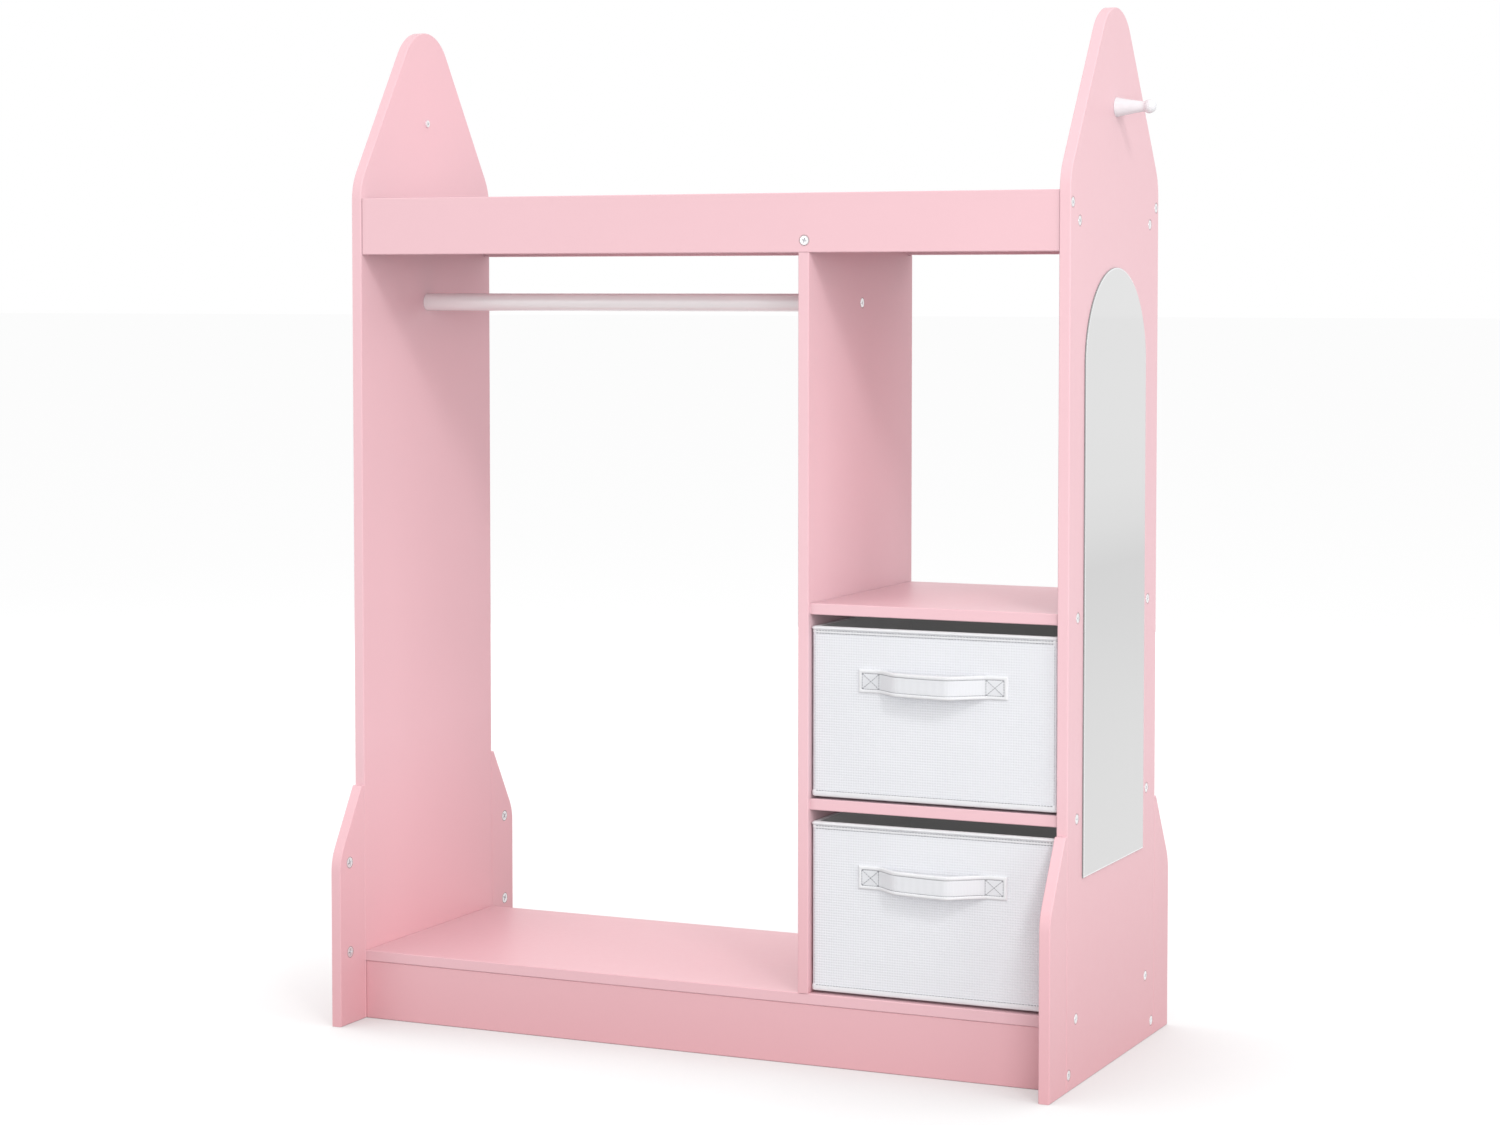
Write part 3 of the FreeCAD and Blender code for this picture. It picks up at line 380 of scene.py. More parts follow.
def circle(made, matrix, radius, height, sides):
    """A ring of vertices about the local Z axis."""
    turns = [2 * math.pi * step / sides for step in range(sides)]
    spots = [Vector((radius * math.cos(turn), radius * math.sin(turn), height)) for turn in turns]
    return [made.verts.new(matrix @ spot) for spot in spots]


def lathe(made, matrix, profile, sides, material=0):
    """Turns a profile of (radius, height) about the local Z axis."""
    rings = [circle(made, matrix, radius, height, sides) for radius, height in profile]
    skin(made, rings, material)
    return rings


def cap(made, ring, material=0):
    face = made.faces.new(ring)
    face.material_index = material


def islands(node):
    """The separate solids of a CAD node, as lists of points."""
    made = bmesh.new()
    made.from_mesh(nodes[node].data)
    bmesh.ops.remove_doubles(made, verts=made.verts[:], dist=WELD)
    left = dict.fromkeys(made.verts)
    groups = []
    while left:
        stack = [left.popitem()[0]]
        group = []
        while stack:
            vertex = stack.pop()
            group.append(vertex.co.copy())
            for edge in vertex.link_edges:
                other = edge.other_vert(vertex)
                if other in left:
                    del left[other]
                    stack.append(other)
        groups.append(group)
    made.free()
    return groups


def extent(points):
    low = Vector([min(point[axis] for point in points) for axis in range(3)])
    high = Vector([max(point[axis] for point in points) for axis in range(3)])
    return low, high


def facing(place, direction, turn=0.0):
    """A frame at a place, with its local Z along a direction."""
    turned = direction.to_track_quat("Z", "Y").to_matrix().to_4x4()
    return Matrix.Translation(place) @ turned @ Matrix.Rotation(turn, 4, "Z")


def off_axis(point, middle, axis):
    """How far a point lies from the line through a middle along an axis."""
    away = point - middle
    away[axis] = 0
    return away.length


# Screws, cam locks and pegs: the sides of a round head, and which material its recess and the cut board
# take. Both are darker than what is round them: partly real metal and bare board, partly painted shade in
# the recess and in the gap round the head
HEAD_SIDES = 48
RECESS, CUT_BOARD = 1, 2


def cross_head(made, matrix, radius, arm, width, depth):
    """The flat top of a head with a cross recess, facing local +Z at height zero, and its outer ring."""
    ring = circle(made, matrix, radius, 0, HEAD_SIDES)

    def cross(reach, half, height):
        outline = []
        for quarter in range(4):
            spin = Matrix.Rotation(quarter * math.pi / 2, 4, "Z")
            for x, y in ((half, -half), (reach, -half), (reach, half)):
                outline.append(made.verts.new(matrix @ spin @ Vector((x, y, height))))
        return outline

    top = cross(arm, width / 2, 0)
    floor = cross(arm * 0.62, width * 0.3, -depth)
    edges = [made.edges.new((a, b)) for a, b in zip(ring, ring[1:] + ring[:1])]
    edges += [made.edges.new((a, b)) for a, b in zip(top, top[1:] + top[:1])]
    bmesh.ops.triangle_fill(made, use_beauty=True, edges=edges)
    ring_faces(made, top, floor, RECESS)
    cap(made, floor, RECESS)
    return ring


def screw_piece(node, head, shank, head_height, body, metal, proud=0.0, rim=True):
    """Finer screws in the places of a CAD group of screws."""
    made = bmesh.new()
    for points in islands(node):
        low, high = extent(points)
        spans = high - low
        axis = max(range(3), key=lambda index: spans[index])
        middle = (low + high) / 2
        radius = head / 2
        wide = [point for point in points if off_axis(point, middle, axis) > radius * 0.8]
        side = 1 if wide[0][axis] > middle[axis] else -1
        outward = Vector([side if index == axis else 0 for index in range(3)])
        place = middle.copy()
        place[axis] = high[axis] if side > 0 else low[axis]
        matrix = facing(place + outward * proud, outward, chance.uniform(0, math.pi / 2))
        top = cross_head(made, matrix, radius - 0.25 * MM, radius * 0.52, radius * 0.26, head_height * 0.7)
        rings = lathe(made, matrix, [
            (radius - 0.07 * MM, -0.07 * MM), (radius, -0.25 * MM), (radius, -head_height),
            (shank / 2, -head_height), (shank / 2, -(spans[axis] - 5 * MM)), (shank * 0.1, -spans[axis]),
        ], HEAD_SIDES)
        ring_faces(made, top, rings[0])
        cap(made, rings[-1])
        if rim:
            rings = lathe(made, facing(place, outward), [
                (radius + 0.03 * MM, -1.3 * MM), (radius + 0.03 * MM, -0.8 * MM),
                (radius + 1.0 * MM, 0.31 * MM), (radius + 1.15 * MM, 0.32 * MM),
                (radius + 1.15 * MM, 0.2 * MM), (radius + 0.5 * MM, -1.3 * MM),
            ], HEAD_SIDES, CUT_BOARD)
            ring_faces(made, rings[-1], rings[0], CUT_BOARD)
    mesh = from_bmesh(node, made)
    return make_piece(f"{node}_fine", mesh, body, [metal, recess_shade_metal, shaded_cut_rim], [node])


for name in ("left_panel_screws", "right_panel_screws", "shelf_screws", "rod_screws", "rail_screws"):
    screw_piece(name, 10 * MM, 5 * MM, 2.4 * MM, "carcass", screw_metal, proud=0.3 * MM)
screw_piece("peg_screws", 8 * MM, 4 * MM, 1.8 * MM, "carcass", screw_metal, rim=False)


def cam_piece(node):
    """Cam locks: a cast disc with a cross slot, in the inner faces of the foot strips."""
    made = bmesh.new()
    for points in islands(node):
        low, high = extent(points)
        middle = (low + high) / 2
        outward = Vector((-1 if middle.x > 0 else 1, 0, 0))
        place = Vector((low.x if middle.x > 0 else high.x, middle.y, middle.z))
        matrix = facing(place + outward * 0.1 * MM, outward, chance.uniform(0, math.pi / 2))
        radius = (high.z - low.z) / 2
        top = cross_head(made, matrix, radius - 0.5 * MM, radius * 0.7, radius * 0.3, 2.2 * MM)
        rings = lathe(made, matrix, [
            (radius - 0.15 * MM, -0.1 * MM), (radius, -0.4 * MM), (radius, -(high.x - low.x)),
        ], HEAD_SIDES)
        ring_faces(made, top, rings[0])
        cap(made, rings[-1])
        lathe(made, facing(place, outward), [
            (radius + 0.02 * MM, -1.5 * MM), (radius + 0.02 * MM, 0.02 * MM),
            (radius + 0.1 * MM, 0.08 * MM), (radius + 0.4 * MM, 0.08 * MM),
            (radius + 0.5 * MM, 0.01 * MM), (radius + 0.5 * MM, -1.5 * MM),
        ], HEAD_SIDES, CUT_BOARD)
    mesh = from_bmesh(node, made)
    looks = [cam_metal, recess_shade_metal, shaded_cut_rim]
    return make_piece(f"{node}_fine", mesh, "carcass", looks, [node])


cam_piece("foot_cam_locks")


def peg_piece(node):
    """Turned pegs: a tapered stem, a hollowed neck and a ball head."""
    made = bmesh.new()
    for points in islands(node):
        low, high = extent(points)
        outward = Vector((1 if low.x > 0 else -1, 0, 0))
        place = Vector((low.x if low.x > 0 else high.x, 0, (low.z + high.z) / 2))
        length = high.x - low.x
        ball, base, neck, stem = 7.4 * MM, 10.6 * MM, 5.6 * MM, 28 * MM
        stem_steps, ball_steps = 14, 18
        centre = length - ball
        profile = [(0.5 * MM, 0.02 * MM), (base - 0.25 * MM, 0.02 * MM), (base, 0.25 * MM)]
        for step in range(1, stem_steps + 1):
            share = step / stem_steps
            hollow = 0.25 * MM * math.sin(math.pi * share)
            profile.append((base + (neck - base) * share - hollow, stem * share))
        join = math.asin(neck / ball)
        neck_end = centre - ball * math.cos(join)
        profile.append((neck - 0.05 * MM, (stem + neck_end) / 2))
        for step in range(ball_steps):
            turn = join + (math.pi - join) * step / ball_steps
            profile.append((ball * math.sin(turn), centre - ball * math.cos(turn)))
        rings = lathe(made, facing(place, outward), profile, 56)
        cap(made, rings[0])
        cap(made, rings[-1])
    mesh = from_bmesh(node, made)
    return make_piece(f"{node}_fine", mesh, "carcass", [peg_paint], [node], sharp=50)


peg_piece("peg_hooks")


def rod_piece(node):
    """The hanging rod, with softened ends."""
    low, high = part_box(node)
    made = bmesh.new()
    radius = (high.z - low.z) / 2
    length = high.x - low.x
    place = Vector((low.x, (low.y + high.y) / 2, (low.z + high.z) / 2))
    profile = [(0.5 * MM, 0), (radius - 0.5 * MM, 0), (radius - 0.12 * MM, 0.15 * MM), (radius, 0.6 * MM)]
    middle = [(radius, length * step / 12) for step in range(1, 12)]
    mirrored = [(r, length - h) for r, h in reversed(profile)]
    rings = lathe(made, facing(place, Vector((1, 0, 0))), profile + middle + mirrored, 72)
    cap(made, rings[0])
    cap(made, rings[-1])
    mesh = from_bmesh(node, made)
    return make_piece(f"{node}_fine", mesh, "carcass", [rod_paint], [node])


rod_piece("hanging_rod")


def mirror_piece(node):
    """The arched mirror: silvered face, polished bevel and ground edge."""
    low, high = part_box(node)
    made = bmesh.new()
    half = (high.y - low.y) / 2
    spring = high.z - half
    arch = 96

    def outline(inset, x):
        points = [(half - inset, low.z + inset)]
        for step in range(arch + 1):
            turn = math.pi * step / arch
            points.append(((half - inset) * math.cos(turn), spring + (half - inset) * math.sin(turn)))
        points.append((inset - half, low.z + inset))
        return [made.verts.new((x, y, z)) for y, z in points]

    back = outline(0, low.x)
    shoulder = outline(0, high.x - 0.45 * MM)
    lip = outline(0.2 * MM, high.x - 0.25 * MM)
    face = outline(1.3 * MM, high.x)
    cap(made, back, 1)
    ring_faces(made, back, shoulder, 1)
    ring_faces(made, shoulder, lip, 1)
    ring_faces(made, lip, face, 2)
    cap(made, face, 0)
    mesh = from_bmesh(node, made)
    looks = [mirror_silver, mirror_edge, mirror_bevel]
    return make_piece(f"{node}_glass", mesh, "carcass", looks, [node], sharp=8)


mirror_piece("mirror")


# Sewn stitches. Pairs of shares: a place along a grain of thread, and how thick it is there
GRAIN_SHARES = ((0.0, 0.35), (0.18, 0.9), (0.5, 1.0), (0.82, 0.9), (1.0, 0.35))


def add_stitches(made, path, pitch, length, radius):
    """Short thread grains along a path of (point, outward normal) pairs."""
    points = [point for point, normal in path]
    lengths = [0.0]
    for first, second in zip(points, points[1:]):
        lengths.append(lengths[-1] + (second - first).length)
    count = max(1, int(lengths[-1] / pitch))
    at = 0

    def place(distance):
        nonlocal at
        while at < len(lengths) - 2 and lengths[at + 1] < distance:
            at += 1
        run = max(lengths[at + 1] - lengths[at], 1e-9)
        share = (distance - lengths[at]) / run
        normal = path[at][1].lerp(path[at + 1][1], share).normalized()
        return points[at].lerp(points[at + 1], share), normal

    for index in range(count):
        middle = (index + 0.5) * lengths[-1] / count
        head, normal = place(middle - length / 2)
        tail = place(middle + length / 2)[0]
        along = (tail - head).normalized()
        across = along.cross(normal).normalized()
        rings = []
        for share, thick_share in GRAIN_SHARES:
            centre = head.lerp(tail, share) + normal * radius * (0.9 * math.sin(math.pi * share) - 0.35)
            reach = radius * thick_share
            turns = [math.pi * step / 3 for step in range(6)]
            spots = [across * reach * math.cos(turn) + normal * reach * math.sin(turn) for turn in turns]
            rings.append([made.verts.new(centre + spot) for spot in spots])
        skin(made, rings)
        cap(made, rings[0])
        cap(made, rings[-1])


# Fabric bins: corner radius, raised bottom edge, its rounding, and fullness past the solid at each side
CORNER = 3 * MM
RIM = 3.5 * MM
EASE = 1.5 * MM
FULL = 1.4 * MM
# How far the walls swell and waver, and how far the strap's sewn ends pull them in, and round which places
SWELL, WAVER = 0.9 * MM, 0.22 * MM
PULL, PULL_REACH, PULL_INSET = 0.55 * MM, 26 * MM, 14 * MM
COVER_THICK, LINING_THICK = 1.1 * MM, 0.7 * MM


def plan(half_x, half_y, radius, counts=(60, 60, 8)):
    """Points and outward normals round a rectangle with round corners, from the front left.

    Each point also has the number of its side and its share of the way along it.
    The counts are the steps along X, along Y and round a corner.
    """
    along_x, along_y, corner = counts
    loop = []
    sides = (
        ((-half_x + radius, -half_y), (half_x - radius, -half_y), (0, -1), along_x),
        ((half_x, -half_y + radius), (half_x, half_y - radius), (1, 0), along_y),
        ((half_x - radius, half_y), (-half_x + radius, half_y), (0, 1), along_x),
        ((-half_x, half_y - radius), (-half_x, -half_y + radius), (-1, 0), along_y),
    )
    middles = (
        (half_x - radius, -half_y + radius), (half_x - radius, half_y - radius),
        (-half_x + radius, half_y - radius), (-half_x + radius, -half_y + radius),
    )
    for number, (start, end, normal, count) in enumerate(sides):
        for step in range(count + 1):
            share = step / count
            x = start[0] + (end[0] - start[0]) * share
            y = start[1] + (end[1] - start[1]) * share
            loop.append((Vector((x, y, 0)), Vector((*normal, 0)), number, share))
        for step in range(1, corner):
            turn = math.pi / 2 * (number - 1 + step / corner)
            normal_here = Vector((math.cos(turn), math.sin(turn), 0))
            loop.append((Vector((*middles[number], 0)) + normal_here * radius, normal_here, number, 1.0))
    return loop


def ripple(along, up, seed):
    """A slow unevenness from minus one to one, such as cloth over card has."""
    return (
        math.sin(along * 5.1 + up * 3.3 + seed)
        + math.sin(along * 9.7 - up * 7.1 + seed * 2.3)
        + math.sin(along * 2.3 + up * 12.9 + seed * 4.1)
    ) / 3


def rounded_line(corners, gap=0.5 * MM, window=10):
    """Points a gap apart along straight runs, with the corners between the runs rounded."""
    dense = []
    for first, second in zip(corners, corners[1:]):
        first, second = Vector(first), Vector(second)
        steps = max(1, round((second - first).length / gap))
        dense += [first.lerp(second, step / steps) for step in range(steps)]
    dense.append(Vector(corners[-1]))
    line = []
    for index in range(len(dense)):
        reach = min(window, index, len(dense) - 1 - index)
        near = dense[index - reach:index + reach + 1]
        line.append(sum(near, Vector((0, 0))) / len(near))
    return line


class FabricBin:
    """One sewn bin: the shapes of its pieces come from the boxes of its CAD nodes."""

    def __init__(self, name, seed):
        self.name = name
        self.seed = seed
        low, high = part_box(f"{name}_cover")
        rim_low, rim_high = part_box(f"{name}_top_binding")
        self.middle = Vector(((low.x + high.x) / 2, (low.y + high.y) / 2, low.z))
        self.half_x = (high.x - low.x) / 2 + FULL
        self.half_y = (high.y - low.y) / 2
        self.height = rim_high.z - low.z
        self.band = rim_high.z - rim_low.z
        handle_low, handle_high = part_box(f"{name}_handle")
        self.handle_z = (handle_low.z + handle_high.z) / 2 - low.z
        self.handle_half = (handle_high.x - handle_low.x) / 2

    def add_piece(self, made, name, looks, sharp, node=None, thickness=0.0):
        """Makes a piece of this bin, in the place of one of its CAD nodes where that is named."""
        name = f"{self.name}_{name}"
        replaced = [f"{self.name}_{node}"] if node else []
        piece = make_piece(name, from_bmesh(name, made), self.name, looks, replaced, sharp)
        if thickness:
            thick = piece.modifiers.new("thickness", "SOLIDIFY")
            thick.thickness = thickness
            thick.offset = -1

    def swell(self, side, share, up):
        """How far the cloth stands out from its card at a place on a wall."""
        rise = min(1.0, max(0.0, up / self.height))
        crown = math.sin(math.pi * share) ** 0.7 * math.sin(math.pi * rise) ** 0.7
        out = SWELL * crown + WAVER * ripple(share * 3, rise * 2, self.seed + side) * crown
        if side == 0:
            along = (share - 0.5) * 2 * (self.half_x - CORNER)
            for end in (-1, 1):
                near = math.hypot(along - end * (self.handle_half - PULL_INSET), up - self.handle_z)
                out -= PULL * math.exp(-((near / PULL_REACH) ** 2))
        return out

    def wall(self, side, share, up, inset=0.0):
        """A point on the cover's outer face, and its outward normal, for stitches and the strap."""
        loop_x, loop_y = self.half_x - CORNER, self.half_y - CORNER
        along = (share - 0.5) * 2
        out = self.swell(side, share, up) + inset
        point, normal = (
            (Vector((along * loop_x, -self.half_y - out, up)), Vector((0, -1, 0))),
            (Vector((self.half_x + out, along * loop_y, up)), Vector((1, 0, 0))),
            (Vector((-along * loop_x, self.half_y + out, up)), Vector((0, 1, 0))),
            (Vector((-self.half_x - out, -along * loop_y, up)), Vector((-1, 0, 0))),
        )[side]
        return self.middle + point, normal

    def ring_plan(self, out):
        """The bin's outline moved outward, or inward, with its corners kept round."""
        return plan(self.half_x + out, self.half_y + out, max(CORNER + out, 0.8 * MM))

    def cover(self):
        """The outer cloth: a bottom that rises along its edge, and four full walls."""
        made = bmesh.new()
        levels = [(0.35 * MM, 40 * MM), (0.7 * MM, 22 * MM), (1.0 * MM, 10 * MM), (1.3 * MM, 7 * MM)]
        levels.append((RIM, EASE + 1.5 * MM))
        for step in range(6):
            turn = math.pi / 2 * step / 5
            levels.append((RIM + EASE - EASE * math.cos(turn), EASE - EASE * math.sin(turn)))
        low = RIM + EASE
        top = self.height - 1.2 * MM
        for step in range(1, 41):
            levels.append((low + (top - low) * step / 40, 0.0))
        rings = []
        for up, inset in levels:
            ring = []
            for point, normal, side, share in self.ring_plan(-inset):
                out = self.swell(side, share, up) if inset <= 0 else 0.0
                ring.append(made.verts.new(self.middle + point + normal * out + Vector((0, 0, up))))
            rings.append(ring)
        skin(made, rings)
        cap(made, rings[0])
        self.add_piece(made, "cover_cloth", [cover_cloth], 60, "cover", COVER_THICK)

    def cards(self):
        """The stiff cards in the walls, cut short of the cover's raised bottom edge."""
        made = bmesh.new()
        for points in islands(f"{self.name}_stiffeners"):
            low, high = extent(points)
            low.z = self.middle.z + RIM + EASE
            high.z -= 0.5 * MM
            place = Matrix.LocRotScale((low + high) / 2, None, high - low)
            corners = bmesh.ops.create_cube(made, size=1.0, matrix=place)["verts"]
            edges = list(dict.fromkeys(edge for corner in corners for edge in corner.link_edges))
            bmesh.ops.bevel(made, geom=edges, offset=0.4 * MM, segments=2, profile=0.5, affect="EDGES")
        self.add_piece(made, "cards", [card], 50, "stiffeners")

    def lining(self):
        """The inner cloth, a little slack between its corners."""
        low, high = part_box(f"{self.name}_lining")
        made = bmesh.new()
        loop = plan((high.x - low.x) / 2, (high.y - low.y) / 2, 4 * MM, (36, 36, 6))
        tall, foot = high.z - low.z, 2.5 * MM
        levels = [(0.4 * MM, 2.5 * MM), (0.9 * MM, 1.0 * MM), (foot, 0.2 * MM)]
        levels += [(foot + (tall - foot) * step / 24, 0.0) for step in range(1, 25)]
        middle = Vector((self.middle.x, self.middle.y, low.z))
        rings = []
        for up, inset in levels:
            ring = []
            for point, normal, side, share in loop:
                slack = 0.5 * MM * (1 + ripple(share * 4, up * 12, self.seed * 3 + side))
                slack *= math.sin(math.pi * share) * math.sin(math.pi * min(1, up / tall))
                ring.append(made.verts.new(middle + point - normal * (inset + slack) + Vector((0, 0, up))))
            rings.append(ring)
        skin(made, rings)
        cap(made, rings[0])
        self.add_piece(made, "lining_cloth", [lining_cloth], 70, "lining", LINING_THICK)

    def floor(self):
        """The loose floor board, wrapped in lining cloth and a little crowned."""
        low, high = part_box(f"{self.name}_floor_board")
        made = bmesh.new()
        middle = Vector(((low.x + high.x) / 2, (low.y + high.y) / 2, low.z))
        loop = plan((high.x - low.x) / 2, (high.y - low.y) / 2, 4 * MM, (24, 24, 6))
        top, crown = 2.8 * MM, 0.2 * MM
        edge = [(0.0, 0.6 * MM), (0.5 * MM, 0.1 * MM), (1.5 * MM, 0.0)]
        edge += [(2.4 * MM, 0.25 * MM), (top, 0.9 * MM)]
        rings = []
        for up, inset in edge:
            start = middle + Vector((0, 0, up))
            rings.append([made.verts.new(start + point - normal * inset) for point, normal, *_ in loop])
        for share in (0.9, 0.7, 0.4, 0.15):
            start = middle + Vector((0, 0, top + crown * (1 - share)))
            rings.append([made.verts.new(start + point * share) for point, *_ in loop])
        skin(made, rings)
        cap(made, rings[0])
        cap(made, rings[-1])
        self.add_piece(made, "floor_cloth", [lining_cloth], 60, "floor_board")

    def sweep(self, made, profile, uneven):
        """Carries a closed outline of (outward, up) points round the bin."""
        loops = [self.ring_plan(out) for out, _ in profile]
        rings = []
        for number in range(len(loops[0])):
            ring = []
            for loop, (_, up) in zip(loops, profile):
                point, normal, side, _ = loop[number]
                wave = uneven * ripple(number * 0.11, side, self.seed)
                rise = Vector((0, 0, up + wave * 0.5))
                ring.append(made.verts.new(self.middle + point + normal * wave + rise))
            rings.append(ring)
        skin(made, rings + rings[:1])

    def seam(self, made, up, out, swollen=True):
        """A row of stitches round the walls at one height."""
        pitch, length, radius = 3.3 * MM, 2.64 * MM, 0.42 * MM
        for side in range(4):
            path = []
            for step in range(41):
                share = 0.004 + 0.992 * step / 40
                point, normal = self.wall(side, share, up, out)
                if not swollen:
                    point -= normal * self.swell(side, share, up)
                path.append((point, normal))
            add_stitches(made, path, pitch, length, radius)

    def upright_seams(self, made):
        """A fine row of stitches beside each upright edge."""
        reach = 2.2 * MM
        for side in range(4):
            half = (self.half_x if side % 2 == 0 else self.half_y) - CORNER
            for share in (0.0, 1.0):
                path = []
                for step in range(41):
                    up = 10 * MM + (self.height - 19 * MM) * step / 40
                    inside = share + (reach - CORNER) / (2 * half) * (1 if share < 0.5 else -1)
                    path.append(self.wall(side, min(1.0, max(0.0, inside)), up))
                add_stitches(made, path, 3.0 * MM, 2.6 * MM, 0.2 * MM)

    def top_binding(self):
        """The tape folded over the top edge, with its stitches and those along the upright edges."""
        made = bmesh.new()
        top, low = self.height, self.height - self.band
        inner = -4.7 * MM
        profile = [(0.1 * MM, low), (0.4 * MM, low - 0.05 * MM), (0.55 * MM, low + 0.4 * MM)]
        profile += [(0.5 * MM, top - 5.2 * MM), (0.3 * MM, top - 4.3 * MM)]
        width, rise = (1.5 * MM - inner + 0.9 * MM) / 2, 2.2 * MM
        centre = inner / 2 + 0.3 * MM
        for step in range(-4, 17):
            turn = math.pi * step / 12
            profile.append((centre + width * math.cos(turn), top - rise + rise * math.sin(turn)))
        profile += [(inner - 0.3 * MM, top - 4.3 * MM), (inner - 0.5 * MM, top - 5.2 * MM)]
        profile += [(inner - 0.5 * MM, low + 0.4 * MM), (inner - 0.2 * MM, low)]
        profile += [(inner + 0.1 * MM, low + 0.4 * MM), (inner + 0.1 * MM, top - 1.4 * MM)]
        profile.append((0.0, top - 1.4 * MM))
        self.sweep(made, profile, 0.10 * MM)
        self.add_piece(made, "top_hem", [tape_cloth], 50, "top_binding")
        made = bmesh.new()
        self.seam(made, top - 4.6 * MM, 0.5 * MM, swollen=False)
        self.seam(made, low - 0.5 * MM, 0.1 * MM)
        self.upright_seams(made)
        self.add_piece(made, "top_stitches", [thread], 80)

    def bottom_binding(self):
        """The tape round the bottom edge, with its stitches."""
        made = bmesh.new()
        low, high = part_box(f"{self.name}_bottom_binding")
        band = high.z - low.z + 2.8 * MM
        profile = [(0.1 * MM, band), (0.5 * MM, band + 0.05 * MM), (0.8 * MM, band - 0.5 * MM)]
        profile += [(1.05 * MM, band - 1.4 * MM), (1.15 * MM, band - 2.6 * MM)]
        outer, inner, under = EASE + 1.0 * MM, EASE + 0.05 * MM, -EASE - 2.5 * MM
        turns = [math.pi / 2 * step / 7 for step in range(8)]
        profile += [(-EASE + outer * math.cos(turn), RIM + EASE - outer * math.sin(turn)) for turn in turns]
        profile += [(under, RIM - 1.0 * MM), (under, RIM - 0.4 * MM)]
        turns.reverse()
        profile += [(-EASE + inner * math.cos(turn), RIM + EASE - inner * math.sin(turn)) for turn in turns]
        self.sweep(made, profile, 0.08 * MM)
        self.add_piece(made, "bottom_hem", [tape_cloth], 50, "bottom_binding")
        made = bmesh.new()
        self.seam(made, band - 0.3 * MM, 0.75 * MM, swollen=False)
        self.add_piece(made, "bottom_stitches", [thread], 80)

    def handle(self):
        """A folded strap with raised edges and boxed stitching, sewn down at both ends and slack between."""
        low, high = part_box(f"{self.name}_handle")
        half = (high.z - low.z) / 2
        length = 2 * self.handle_half
        sewn, droop, border, thickness = 25 * MM, 0.6 * MM, 4.2 * MM, 1.5 * MM
        line = rounded_line([
            (0, 0), (sewn, 0), (sewn + 22 * MM, 17 * MM), (length - sewn - 33 * MM, 23.5 * MM),
            (length - sewn, 0), (length, 0),
        ])
        before, after = line[:1] + line[:-1], line[1:] + line[-1:]
        leans = [math.atan2(last.y - first.y, last.x - first.x) for first, last in zip(before, after)]
        lengths = [0.0]
        for first, second in zip(line, line[1:]):
            lengths.append(lengths[-1] + (second - first).length)
        total = lengths[-1]
        bulge = max(point.y for point in line)

        def strap_frame(run):
            """A point of the strap's back at a run along it, and the way it faces."""
            at = min(max(bisect.bisect_right(lengths, run) - 1, 0), len(line) - 2)
            share = (run - lengths[at]) / (lengths[at + 1] - lengths[at])
            along, out = line[at].lerp(line[at + 1], share)
            lean = leans[at] + (leans[at + 1] - leans[at]) * share
            x = along - self.handle_half
            free_share = min(1.0, max(0.0, (run - sewn) / (total - 2 * sewn)))
            sag = droop * math.sin(math.pi * free_share) ** 2
            ground = self.swell(0, 0.5 + x / (2 * (self.half_x - CORNER)), self.handle_z)
            settle = ground * (1 - out / bulge)
            point = Vector((x, -self.half_y - out - settle - 0.05 * MM, self.handle_z - sag))
            return self.middle + point, Vector((-math.sin(lean), -math.cos(lean), 0))

        def inset_of(run, across):
            """How far a place lies inside the strap's outline."""
            return min(run, total - run, half - abs(across))

        def surface(run, across, proud=0.0):
            """A point on the strap's face, with its raised border and groove, and the way it faces."""
            inset = max(inset_of(run, across), 0.0)
            height = thickness * min(1.0, inset / (0.9 * MM)) ** 0.5
            if inset < border:
                height += 0.7 * MM * math.sin(math.pi * inset / border) ** 0.6
            height -= 0.28 * MM * math.exp(-(((inset - border) / (0.55 * MM)) ** 2))
            point, normal = strap_frame(run)
            return point + normal * (height + proud) + Vector((0, 0, across)), normal

        ends = (0.0, 0.3, 0.9, 2, 3.2, 4.2, 5.2)
        runs = {value * MM for value in ends} | {total - value * MM for value in ends}
        runs |= {7 * MM + (total - 14 * MM) * step / 150 for step in range(151)}
        rims = (0.0, 0.3, 0.9, 1.6, 2.4, 3.2, 3.8, 4.2, 4.6, 5.2, 6.2)
        spots = {value * MM - half for value in rims} | {half - value * MM for value in rims}
        spots = sorted(spots | {value * MM for value in (-4, -2, 0, 2, 4)})
        made = bmesh.new()
        sections = []
        inner = set()
        for run in sorted(runs):
            front = [made.verts.new(surface(run, across)[0]) for across in spots]
            for vertex, across in zip(front, spots):
                if inset_of(run, across) > border - 0.3 * MM:
                    inner.add(vertex)
            point, _ = strap_frame(run)
            back = [made.verts.new(point + Vector((0, 0, across))) for across in (half, 0.0, -half)]
            sections.append(front + back)
        skin(made, sections)
        # The strap's centre takes a cloth a shade darker than its raised border: painted shade between the
        # raised edges.
        for face in made.faces:
            face.material_index = int(inner.issuperset(face.verts))
        cap(made, sections[0])
        cap(made, sections[-1])
        self.add_piece(made, "strap", [tape_cloth, strap_cloth], 55, "handle")

